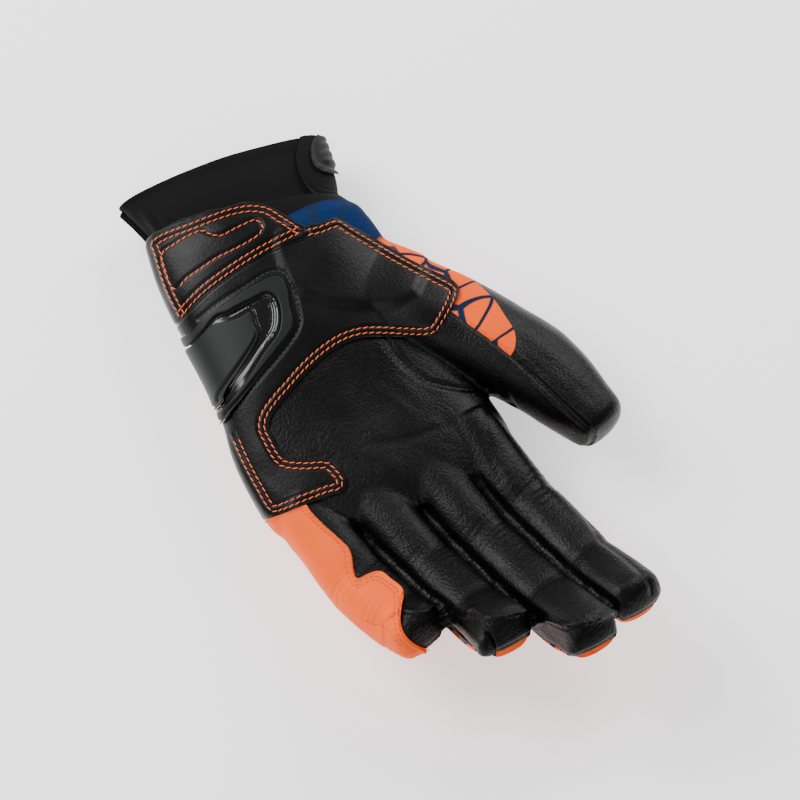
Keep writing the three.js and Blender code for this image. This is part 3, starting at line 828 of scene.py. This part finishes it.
SLIDER_ROW = [(199.9, 319), (217.1, 304.6), (243.9, 287.4), (268.7, 272.5), (283.2, 272.5),
              (291.8, 285.4), (297.6, 303.7), (300.4, 322.8), (294.7, 337.2), (282.2, 354.4),
              (264, 375.4), (245.9, 395.6), (236.4, 409)]
SIDE_ROW = [(299.9, 508.6), (311.6, 519.6), (326.3, 532.8), (338, 543), (345.4, 554.8), (346.8, 569.5),
            (351.2, 581.2), (356.4, 587.8), (365.9, 582.7), (375.4, 579.8), (385, 584.9), (394.5, 593),
            (395.2, 601.8), (394.5, 612), (395.2, 623.8), (398.2, 635.5), (404, 645.8)]
SIDE_LOW_ROW = [(364.4, 620.1), (374.7, 624.5), (382, 625.2), (389.4, 632.6), (395.2, 641.4),
                (403.3, 648)]
ROW_GAP = 5.4  # picture points between the two rows of a double seam


def beside(path, out):
    """An open picture path moved sideways, to the left of its run for a positive distance."""
    run = np.gradient(path, axis=0)
    run /= np.linalg.norm(run, axis=1)[:, None]
    return path + np.stack([run[:, 1], -run[:, 0]], axis=1) * out


def row_path(row, closed=False):
    return rounded(row, closed=closed, steps=6)


wrist_row, divider_row, heel_row = row_path(WRIST_ROW), row_path(DIVIDER_ROW), row_path(HEEL_ROW)
orange_rows = [wrist_row, beside(wrist_row, -ROW_GAP), divider_row, beside(divider_row, -ROW_GAP),
               row_path(FIGURE_ROW, closed=True), heel_row, beside(heel_row, -ROW_GAP)]
side_row = row_path(SIDE_ROW)
rust_rows = [side_row, beside(side_row, 3.5), row_path(SIDE_LOW_ROW)]
thumb_row, slider_row = row_path(THUMB_ROW), row_path(SLIDER_ROW)
black_rows = [thumb_row, beside(thumb_row, 4.5), slider_row]

# %% Slider outlines, in picture points
FRAME_EDGE = [(140, 360), (190, 332.7), (200.3, 321.8), (218.5, 308.5), (237.9, 295.1), (254.8, 284.2),
              (267, 278.2), (276.6, 275.8), (283.9, 280.6), (288.8, 291.5), (291.2, 308.5),
              (294.2, 320.6), (293, 330.3), (279.1, 349.7), (262.1, 371.5), (242.7, 396.9),
              (230.6, 411.5), (228.2, 416.3), (190, 440)]
BAND_EDGE = [(150, 366), (194.2, 343.6), (206.4, 331.5), (218.5, 317), (228.2, 313.9), (237.9, 308.5),
             (254.8, 300), (266.9, 294.5), (274.2, 297.6), (279.1, 308.5), (279.7, 325.4), (276.6, 335.1),
             (264.5, 352.1), (247.5, 378.7), (233, 396.9), (225.1, 405.4), (190, 428)]
PLATE_EDGE = [(150, 370), (193.6, 344.8), (205.1, 332.7), (213.6, 324.2), (227, 321.8), (237.9, 318.2),
              (250, 312.1), (253.6, 323), (257.8, 335.1), (254.8, 343.6), (242.7, 363), (230.6, 381.2),
              (223.3, 395.7), (223.3, 401.8), (190, 420)]
slider_edges = (FRAME_EDGE, BAND_EDGE, PLATE_EDGE)
frame_path, band_path, plate_path = [rounded(path, steps=5) for path in slider_edges]

# %% [markdown]
# ## Overlays
# An overlay is a second leather sewn on top. Its sheet is taken from the skin below it, so it follows
# every swell, then thickened outwards and cut with its outline. A height for each point gives the sheet
# its turned edge and its stitch channels.

# %% Layers
OVERLAY_LOW, SLIDER_LOW, SIDE_LOW = 15.0, 19.0, 11.0  # how far down the layers reach round the sides
OVERLAY, SEAT = 1.45, 0.12  # thickness of an overlay, and how far above the skin it starts


def layer(mesh, zone, wanted, thick, height, levels=1, base=SEAT):
    """A sheet on a skin: wanted(points) picks its area, height(points) gives its shares of thick."""
    bm = bmesh.new()
    bm.from_mesh(mesh)
    keep = wanted(points_of(mesh))
    bmesh.ops.delete(bm, geom=[vert for vert in bm.verts if not keep[vert.index]], context="VERTS")
    sheet = to_mesh(bm, "sheet")
    if levels:
        sheet = with_modifiers(sheet, ("SUBSURF", dict(levels=levels, render_levels=levels)))
    points, normals = points_of(sheet), normals_of(sheet)
    set_points(sheet, points + normals * base)
    slab = with_modifiers(sheet, ("SOLIDIFY", dict(thickness=thick, offset=1.0, vertex_group="height")),
                          heights=np.clip(height(points, normals), 0.05, 1))
    return without_slivers(boolean(slab, "INTERSECT", zone))


def channels(points, normals, rows, width=0.75):
    """1 in the middle of a stitch row, falling to 0 beside it."""
    return bell(seen_distance(points, *rows), width) * (normals @ view > 0.05)


def patch_area(path, low, margin=3.0):
    """A test for the points over a patch and a margin round it."""
    def wanted(points):
        near = seen_distance(points, path, closed=True) < margin
        return (inside(picture_of(points), path) | near) & (points[:, 2] > low - margin)
    return wanted


def edge_distance(points, path, low):
    """Distance in mm to a patch's edge: its picture path, or its level lower edge."""
    return np.minimum(seen_distance(points, path, closed=True), np.abs(points[:, 2] - low))


def leather_height(path, low, rows):
    """A patch with its edge turned down and a channel under each row of stitches."""
    def height(points, normals):
        turned = 0.6 + 0.4 * smooth_step(0, 1.3, edge_distance(points, path, low))
        return turned - 0.3 * channels(points, normals, rows)
    return height


def lipped_height(path, low, rows):
    """A patch with a raised, flat lip along its edge."""
    def height(points, normals):
        edge = edge_distance(points, path, low)
        lip = 0.85 * smooth_step(0, 0.5, edge) + 0.15 - 0.35 * smooth_step(1.0, 1.7, edge)
        return lip - 0.18 * channels(points, normals, rows, 0.45)
    return height


heel_zone = seen_block(heel_path, OVERLAY_LOW, TOP)
heel_cut = beyond(heel_path, 0.15)
wrist_zone = boolean(seen_block(wrist_path, OVERLAY_LOW, TOP), "DIFFERENCE", heel_cut)
side_zone = boolean(seen_block(side_path, SIDE_LOW, TOP), "DIFFERENCE", heel_cut)
heel_zone = boolean(heel_zone, "DIFFERENCE", beyond(frame_path, 0.1))  # the slider lies in this opening
pieces["heel_overlay"] = layer(skin, heel_zone, patch_area(heel_path, OVERLAY_LOW), OVERLAY,
                               leather_height(heel_path, OVERLAY_LOW, orange_rows + [slider_row]))
pieces["wrist_overlay"] = layer(skin, wrist_zone, patch_area(wrist_path, OVERLAY_LOW), OVERLAY,
                                leather_height(wrist_path, OVERLAY_LOW, orange_rows))
pieces["side_patch"] = layer(skin, side_zone, patch_area(side_path, SIDE_LOW), OVERLAY,
                             lipped_height(side_path, SIDE_LOW, rust_rows))
print({name: len(pieces[name].polygons) for name in ("heel_overlay", "wrist_overlay", "side_patch")})

# %% [markdown]
# ## The palm slider
# The slider is moulded, so it doesn't follow the leather's folds: its layers come from the plain skin.
# A matte frame holds a glossy valley, and a matte plate crowns the middle.

# %% Slider
SLIDER_SEAT = SEAT + 0.2
SLIDER_GAP = 0.1  # between the slider's parts
VALLEY = 0.62  # share of the band's thickness left in the middle of its valley


def moulded(paths, edge, reach):
    """Height shares that rise from edge to 1 over reach mm, from any of the paths."""
    def height(points, normals):
        distance = np.minimum.reduce([edge_distance(points, path, SLIDER_LOW) for path in paths])
        return edge + (1 - edge) * np.sin(np.clip(distance / reach, 0, 1) * math.pi / 2)
    return height


def valley(points, normals):
    """The glossy band dips between the frame and the plate."""
    outer = seen_distance(points, band_path, closed=True, far=20)
    inner = seen_distance(points, plate_path, closed=True, far=20)
    return VALLEY + (1 - VALLEY) * np.clip(outer / (outer + inner + 0.01) * 2 - 1, -1, 1) ** 2


# Each part's outline, the next part's, its lower edge, thickness and heights.
SLIDER_PARTS = {
    "slider_frame": (frame_path, band_path, SLIDER_LOW, 2.4, moulded([band_path, frame_path], 0.55, 1.1)),
    "slider_band": (band_path, plate_path, SLIDER_LOW + 3, 2.2, valley),
    "slider_plate": (plate_path, None, SLIDER_LOW, 3.0, moulded([plate_path], 0.7, 1.2)),
}
for name, (path, within, low, thick, height) in SLIDER_PARTS.items():
    zone = seen_block(path, low, TOP)
    if within is not None:
        zone = boolean(zone, "DIFFERENCE", beyond(within, SLIDER_GAP))
    pieces[name] = layer(plain_skin, zone, patch_area(path, SLIDER_LOW), thick, height, 2, SLIDER_SEAT)
    print(name, len(pieces[name].polygons))

# %% [markdown]
# ## Cuff, strap and grip
# The cuff is knitted stretch cloth, open at its mouth. A strap lies round its back and closes on the
# palm side, held by hook-and-loop tape, so it stays shut and has no joint.

# %% Cuff
CUFF_WALL, CUFF_FLOOR = 1.8, 7.8


def cuff_loft():
    """The cuff as a sheet that faces outwards."""
    sheet = loft(tube_rings(CUFF, CUFF_FLOOR, count=120, spacing=1.2), capped=False)
    if (normals_of(sheet)[:, 2] * (points_of(sheet)[:, 2] - CUFF_MIDDLE)).sum() < 0:
        sheet.flip_normals()
    return sheet


cuff_sheet, plain_cuff = cuff_loft(), cuff_loft()
cuff_points, cuff_normals = points_of(cuff_sheet), normals_of(cuff_sheet)
mouth = np.clip((cuff_points[:, 1] + (cuff_points[:, 0] + 4) * math.tan(math.radians(16)) - 98) / 33, 0, 1)
gather = np.cos(cuff_points[:, 0] * 1.35) * smooth_step(-18, -34, cuff_points[:, 0])
gather *= bell(mouth - 0.45, 0.28) * (cuff_normals[:, 2] > 0)
cuff_move = 0.35 * noise(cuff_points, 17, 5) + 0.55 * gather
cuff_move += 0.5 * smooth_step(0.93, 0.96, mouth) - 0.35 * bell(mouth - 0.92, 0.012)
cuff_move *= smooth_step(CUFF_FLOOR + 0.3, CUFF_FLOOR + 4, cuff_points[:, 2])
set_points(cuff_sheet, cuff_points + cuff_normals * cuff_move[:, None])
cuff_tube = with_modifiers(cuff_sheet, ("SOLIDIFY", dict(thickness=CUFF_WALL, offset=-1.0, use_rim=True)))
pieces["cuff"] = join_meshes([cuff_tube, cuff_root])
print("cuff:", len(pieces["cuff"].polygons), "faces")

# %% Strap and grip
TAB_ROOT, STRAP_TURN, GRIP_LOW = 18.5, 24.5, 16.0  # heights at which the tab, the band and the grip end
STRAP, GRIP = 2.3, 1.9  # thickness of the strap and of the grip
STRAP_SEAT, GRIP_SEAT = 0.3, 2.65  # how far above the cuff each starts
tab_path, tape_path, grip_path = rounded(TAB_OUTLINE), rounded(STRAP_BAND), rounded(GRIP_OUTLINE)
strap_zone = boolean(seen_block(tab_path, TAB_ROOT, TOP), "UNION", prism(tape_path, -10, STRAP_TURN))
grip_zone = seen_block(grip_path, GRIP_LOW, TOP)


def strap_height(points, normals):
    """Thinner at the tab's edge, with a stitched line inside it."""
    edge = seen_distance(points, tab_path, closed=True)
    rim = 0.7 + 0.3 * smooth_step(0, 1.5, edge)
    return np.where(points[:, 2] > STRAP_TURN, rim - 0.15 * bell(edge - 2.2, 0.5), 1.0)


def grip_height(points, normals):
    """Ribs across the grip, 3.4 mm apart, inside a lower rim."""
    edge = seen_distance(points, grip_path, closed=True)
    ribs = 0.5 + 0.5 * np.cos(2 * math.pi * (points[:, 1] * 0.93 - points[:, 0] * 0.35) / 3.4)
    rim = 0.35 + 0.4 * smooth_step(0, 1.2, edge)
    return rim + 0.25 * smooth_step(0.2, 0.7, ribs) * smooth_step(0.6, 1.6, edge)


def everywhere(points):
    return np.ones(len(points), bool)


pieces["wrist_strap"] = layer(plain_cuff, strap_zone, everywhere, STRAP, strap_height, base=STRAP_SEAT)
pieces["strap_grip"] = layer(plain_cuff, grip_zone, everywhere, GRIP, grip_height, base=GRIP_SEAT)
print({name: len(pieces[name].polygons) for name in ("wrist_strap", "strap_grip")})

# %% [markdown]
# ## Stitches
# A stitch is a short bead of thread, its ends sunk in the leather. Each is a sphere of a few faces,
# stretched, and turned to follow its row.


# %% Sewing
def surface_of(names):
    """A search tree over some pieces' surfaces."""
    bm = bmesh.new()
    bm.from_mesh(join_meshes([pieces[name] for name in names]))
    tree = BVHTree.FromBMesh(bm)
    bm.free()
    return tree


WIDE = 6.0  # mm between two hits of a row, past which it has left the leather


def sew(bm, tree, row, pitch=2.9, length=2.45, width=0.5, height=0.45, lean=14.0):
    """Stitches along one row, laid where the camera's rays meet the leather."""
    hits = []
    for u, v in row:
        start, way = picture_ray(u, v)
        place, normal, _, _ = tree.ray_cast(start - SHIFT, way)
        if place is not None:
            hits.append((place, normal))
    if len(hits) < 3:
        return 0
    steps = [0.0]
    for one, two in zip(hits, hits[1:]):
        steps.append(steps[-1] + (two[0] - one[0]).length)
    count = int(steps[-1] / pitch)
    for i in range(count):
        s = (i + 0.5) * pitch
        k = max(j for j in range(len(steps)) if steps[j] <= s)
        k = min(k, len(hits) - 2)
        span = steps[k + 1] - steps[k]
        if span > WIDE:
            continue
        share = (s - steps[k]) / max(span, 1e-6)
        place = hits[k][0].lerp(hits[k + 1][0], share)
        normal = (hits[k][1] + hits[k + 1][1]).normalized()
        tangent = (hits[k + 1][0] - hits[k][0]).normalized()
        near = tree.find_nearest(place)
        place, normal = near[0], (normal + near[1]).normalized()
        across = normal.cross(tangent).normalized()
        tangent = Matrix.Rotation(math.radians(lean), 3, normal) @ across.cross(normal)
        across = normal.cross(tangent).normalized()
        turn_to = Matrix((across, normal, tangent)).transposed().to_4x4()
        size = Matrix.Diagonal((width, height, length, 1.0))
        bmesh.ops.create_uvsphere(bm, u_segments=6, v_segments=5, radius=0.5,
                                  matrix=Matrix.Translation(place + normal * 0.12) @ turn_to @ size)
    return count


def sewn(rows, names, **sizes):
    tree = surface_of(names)
    bm = bmesh.new()
    total = sum(sew(bm, tree, row, **sizes) for row in rows)
    print("stitches:", total)
    return to_mesh(bm, "stitches")


stitches = {
    "overlay_stitches": sewn(orange_rows, ["heel_overlay", "wrist_overlay"]),
    "side_stitches": sewn(rust_rows, ["side_patch"], pitch=2.3, length=1.9, width=0.5, height=0.3),
    "black_stitches": sewn(black_rows, ["heel_overlay", "palm_leather", "thumb_leather"], pitch=2.4,
                           length=1.7, width=0.7, height=0.4, lean=0.0),
}

# %% [markdown]
# ## Materials
# Each material starts from what the real one is. Colours are written as hex, as a picture editor shows
# them, and turned to the linear values that Blender works in.


# %% Material helpers
def linear(hex_colour):
    """An sRGB hex colour as linear RGBA."""
    parts = [int(hex_colour[i:i + 2], 16) / 255 for i in (1, 3, 5)]
    return (*[p / 12.92 if p <= 0.04045 else ((p + 0.055) / 1.055) ** 2.4 for p in parts], 1.0)


def node(tree, kind, inputs=None, **settings):
    """Adds a shader node; inputs are values or sockets to link from, settings its other properties."""
    made = tree.nodes.new("ShaderNode" + kind)
    for key, value in settings.items():
        setattr(made, key, value)
    for key, value in (inputs or {}).items():
        if isinstance(value, bpy.types.NodeSocket):
            tree.links.new(value, made.inputs[key])
        else:
            made.inputs[key].default_value = value
    return made


def material(name, colour, roughness, **sockets):
    """A named material with its Principled shader and its object coordinates."""
    made = bpy.data.materials.new(name)
    made.use_nodes = True
    tree = made.node_tree
    shader = tree.nodes["Principled BSDF"]
    shader.inputs["Base Color"].default_value = linear(colour)
    shader.inputs["Roughness"].default_value = roughness
    for key, value in sockets.items():
        shader.inputs[key.replace("_", " ")].default_value = value
    place = node(tree, "TexCoord").outputs["Object"]
    return made, tree, shader, place


def per_mm(size):
    """The scale that makes a texture's cell this many mm across, as Blender's unit is the metre."""
    return 1000.0 / size


# %% Black goat leather
# Goat leather is drum-dyed and has a pebbled grain about a millimetre across; its top coat gives a
# soft sheen that shows on every swell.
def leather(name, colour, roughness, grain, depth):
    made, tree, shader, place = material(name, colour, roughness, Specular_IOR_Level=0.16)
    warp = node(tree, "TexNoise", {"Vector": place, "Scale": per_mm(6), "Detail": 2.0})
    moved = node(tree, "Mix", {"Factor": 0.0016, "A": place, "B": warp.outputs["Color"]},
                 data_type="VECTOR").outputs["Result"]
    pebble = node(tree, "TexVoronoi", {"Vector": moved, "Scale": per_mm(grain), "Smoothness": 0.35},
                  feature="SMOOTH_F1")
    fine = node(tree, "TexNoise", {"Vector": place, "Scale": per_mm(0.7), "Detail": 3.0})
    patch = node(tree, "TexNoise", {"Vector": place, "Scale": per_mm(22), "Detail": 2.0})
    strong = node(tree, "MapRange", {"Value": patch.outputs["Fac"], "From Min": 0.35, "From Max": 0.65,
                                               "To Min": 0.45, "To Max": 1.0})
    grown = node(tree, "Math", {0: pebble.outputs["Distance"], 1: strong.outputs["Result"]},
                 operation="MULTIPLY")
    both = node(tree, "Math", {0: grown.outputs["Value"], 1: -1.0, 2: fine.outputs["Fac"]},
                operation="MULTIPLY_ADD")
    bump = node(tree, "Bump", {"Height": both.outputs["Value"], "Strength": 0.8, "Distance": depth})
    rough = node(tree, "MapRange", {"Value": patch.outputs["Fac"], "From Min": 0.3, "From Max": 0.7,
                                              "To Min": roughness - 0.06, "To Max": roughness + 0.08})
    tree.links.new(rough.outputs["Result"], shader.inputs["Roughness"])
    tree.links.new(bump.outputs["Normal"], shader.inputs["Normal"])
    return made


palm_leather = leather("pebbled_black_goat_leather", "#040404", 0.34, 1.15, 0.00026)
overlay_leather = leather("smooth_black_cow_leather", "#060606", 0.36, 1.5, 0.0001)
orange_leather = leather("dyed_orange_cow_leather", "#fb5c04", 0.6, 1.2, 0.00006)

# %% Printed stretch cloth
# A polyester stretch twill with a transfer print: orange, then blue near the wrist, crossed by navy
# lines like the veins of a leaf, drawn here from the edges of stretched cells.
printed, tree, shader, place = material("printed_polyester_twill", "#f65a12", 0.82, Specular_IOR_Level=0.1)
bend = node(tree, "TexNoise", {"Vector": place, "Scale": per_mm(30), "Detail": 1.0})
bent = node(tree, "Mix", {"Factor": 0.016, "A": place, "B": bend.outputs["Color"]},
            data_type="VECTOR").outputs["Result"]
stretched = node(tree, "Mapping", {"Vector": bent, "Rotation": (0.3, 0.2, 0.5), "Scale": (0.75, 1.5, 1.0)})
cells = node(tree, "TexVoronoi", {"Vector": stretched.outputs["Vector"], "Scale": per_mm(20)},
             feature="DISTANCE_TO_EDGE")
lines = node(tree, "MapRange", {"Value": cells.outputs["Distance"], "From Min": 0.04, "From Max": 0.06,
                                          "To Min": 1.0, "To Max": 0.0})
split = node(tree, "SeparateXYZ", {"Vector": bent})
BLUE_FROM, BLUE_FULL = 0.067, 0.069  # metres from the middle towards the cuff over which blue begins
wrist = node(tree, "MapRange", {"Value": split.outputs["Y"], "From Min": BLUE_FROM, "From Max": BLUE_FULL})
ground = node(tree, "Mix", {"Factor": wrist.outputs["Result"], "A": linear("#f65a12"),
                                      "B": linear("#08224e")}, data_type="RGBA")
shade = node(tree, "TexNoise", {"Vector": place, "Scale": per_mm(18), "Detail": 1.0})
ink = node(tree, "Mix", {"Factor": shade.outputs["Fac"], "A": linear("#0d1724"), "B": linear("#0c2b4c")},
           data_type="RGBA")
print_mix = node(tree, "Mix", {"Factor": lines.outputs["Result"], "A": ground.outputs["Result"],
                                         "B": ink.outputs["Result"]}, data_type="RGBA")
tree.links.new(print_mix.outputs["Result"], shader.inputs["Base Color"])
twill = node(tree, "TexWave", {"Vector": place, "Scale": per_mm(0.9) / 6.28, "Distortion": 0.6},
             bands_direction="DIAGONAL")
cloth_bump = node(tree, "Bump", {"Height": twill.outputs["Fac"], "Strength": 0.5, "Distance": 0.00012})
tree.links.new(cloth_bump.outputs["Normal"], shader.inputs["Normal"])


# %% Cuff and strap cloth
# Knitted polyester over a thin foam: matt, with a soft bloom at grazing angles.
def knitted(name, colour, pitch, depth):
    made, tree, shader, place = material(name, colour, 0.88, Specular_IOR_Level=0.15, Sheen_Weight=0.04)
    loops = node(tree, "TexVoronoi", {"Vector": place, "Scale": per_mm(pitch)})
    bump = node(tree, "Bump", {"Height": loops.outputs["Distance"], "Strength": 0.6, "Distance": depth})
    tree.links.new(bump.outputs["Normal"], shader.inputs["Normal"])
    return made


cuff_cloth = knitted("black_knitted_neoprene", "#060606", 0.8, 0.00012)
strap_cloth = knitted("black_loop_tape", "#070707", 1.1, 0.0003)

# %% Rubber, plastic and thread
# The grip is moulded rubber, dull as it leaves a blasted mould. The slider's plastic is moulded too: its
# frame and plate are spark-textured, its band is polished. Polyester thread has a soft shine.
grip_rubber = material("charcoal_moulded_rubber", "#0f1011", 0.55, Specular_IOR_Level=0.2)[0]
matte_plastic, tree, shader, place = material("charcoal_textured_tpu", "#0e0f10", 0.48,
                                              Specular_IOR_Level=0.25)
spark = node(tree, "TexNoise", {"Vector": place, "Scale": per_mm(0.35), "Detail": 2.0})
texture = node(tree, "Bump", {"Height": spark.outputs["Fac"], "Strength": 0.35, "Distance": 0.00008})
tree.links.new(texture.outputs["Normal"], shader.inputs["Normal"])
gloss_plastic = material("black_gloss_tpu", "#050506", 0.13)[0]
THREADS = {"orange": "#ff6a2a", "rust": "#c84a12", "black": "#0c0c0c"}
threads = {name: material(name + "_polyester_thread", colour, 0.6)[0] for name, colour in THREADS.items()}

# %% [markdown]
# ## Putting the pieces in the scene
# Each piece takes the place of its solid, which stays unseen for the simulation. The whole glove is one
# body, so every piece rides on it.

# %% Pieces into the scene
FINISH = {
    "palm_leather": (palm_leather, "black_leather"), "thumb_leather": (palm_leather, "black_leather"),
    "thumb_cap": (palm_leather, "black_leather"), "back_cloth": (printed, "print_cloth"),
    "wrist_gusset": (printed, "print_cloth"),
    "middle_tip": (palm_leather, "black_leather"), "ring_tip": (palm_leather, "black_leather"),
    "little_tip": (palm_leather, "black_leather"), "heel_overlay": (overlay_leather, "black_leather"),
    "wrist_overlay": (overlay_leather, "black_leather"), "side_patch": (orange_leather, "orange_leather"),
    "slider_frame": (matte_plastic, "slider_matte"), "slider_band": (gloss_plastic, "slider_gloss"),
    "slider_plate": (matte_plastic, "slider_matte"), "cuff": (cuff_cloth, "cuff_band"),
    "wrist_strap": (strap_cloth, "strap_band"), "strap_grip": (grip_rubber, "grip_rubber"),
}


def show(name, mesh, look, smooth_angle=50.0):
    """Puts a finished mesh, in mm, into the scene as a piece of the glove."""
    mesh.transform(Matrix.Scale(MM, 4) @ Matrix.Translation(SHIFT))
    mesh.materials.clear()
    mesh.materials.append(look)
    made = placed(name, mesh)
    mesh.shade_smooth()
    mesh.set_sharp_from_angle(angle=math.radians(smooth_angle))
    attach(made, "root")
    return made


for name, (look, slot) in FINISH.items():
    show(name + "_look", pieces[name], look)
    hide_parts(name)
for name, colour, slot in (("overlay_stitches", "orange", "orange_leather"),
                           ("side_stitches", "rust", "orange_leather"),
                           ("black_stitches", "black", "black_leather")):
    show(name, stitches[name], threads[colour])

# %% [markdown]
# ## Floor and light
# A catalogue picture is lit by wide soft boxes over a white sweep, so shadows are faint and the
# highlights on black leather are long and soft.

# %% Floor, world and lamps
bm = bmesh.new()
bmesh.ops.create_grid(bm, x_segments=1, y_segments=1, size=4.0)
floor = placed("floor", to_mesh(bm, "floor"))
floor_paint, tree, shader, place = material("white_paper_sweep", "#f6f6f6", 0.9, Emission_Strength=0.9)
shader.inputs["Emission Color"].default_value = (1, 1, 1, 1)
floor.data.materials.append(floor_paint)

world = bpy.data.worlds.new("studio")
world.use_nodes = True
sky = world.node_tree.nodes["Background"]
sky.inputs["Color"].default_value = (1, 1, 1, 1)
sky.inputs["Strength"].default_value = 0.35
bpy.context.scene.world = world


def lamp(name, place, size, power):
    """A square soft box that faces the glove."""
    data = bpy.data.lights.new(name, "AREA")
    data.shape, data.size, data.energy = "SQUARE", size, power
    way = (LOOK_AT * MM - Vector(place)).normalized()
    turned = way.to_track_quat("-Z", "Y").to_matrix().to_4x4()
    placed(name, data).matrix_world = Matrix.Translation(place) @ turned


lamp("key_box", (-0.55, 1.0, 1.0), 1.0, 30.0)
lamp("side_box", (1.1, 0.5, 0.9), 0.8, 16.0)
lamp("front_box", (-0.9, -0.5, 1.3), 1.0, 7.0)

# %% Last update of the scene
bpy.context.view_layer.update()
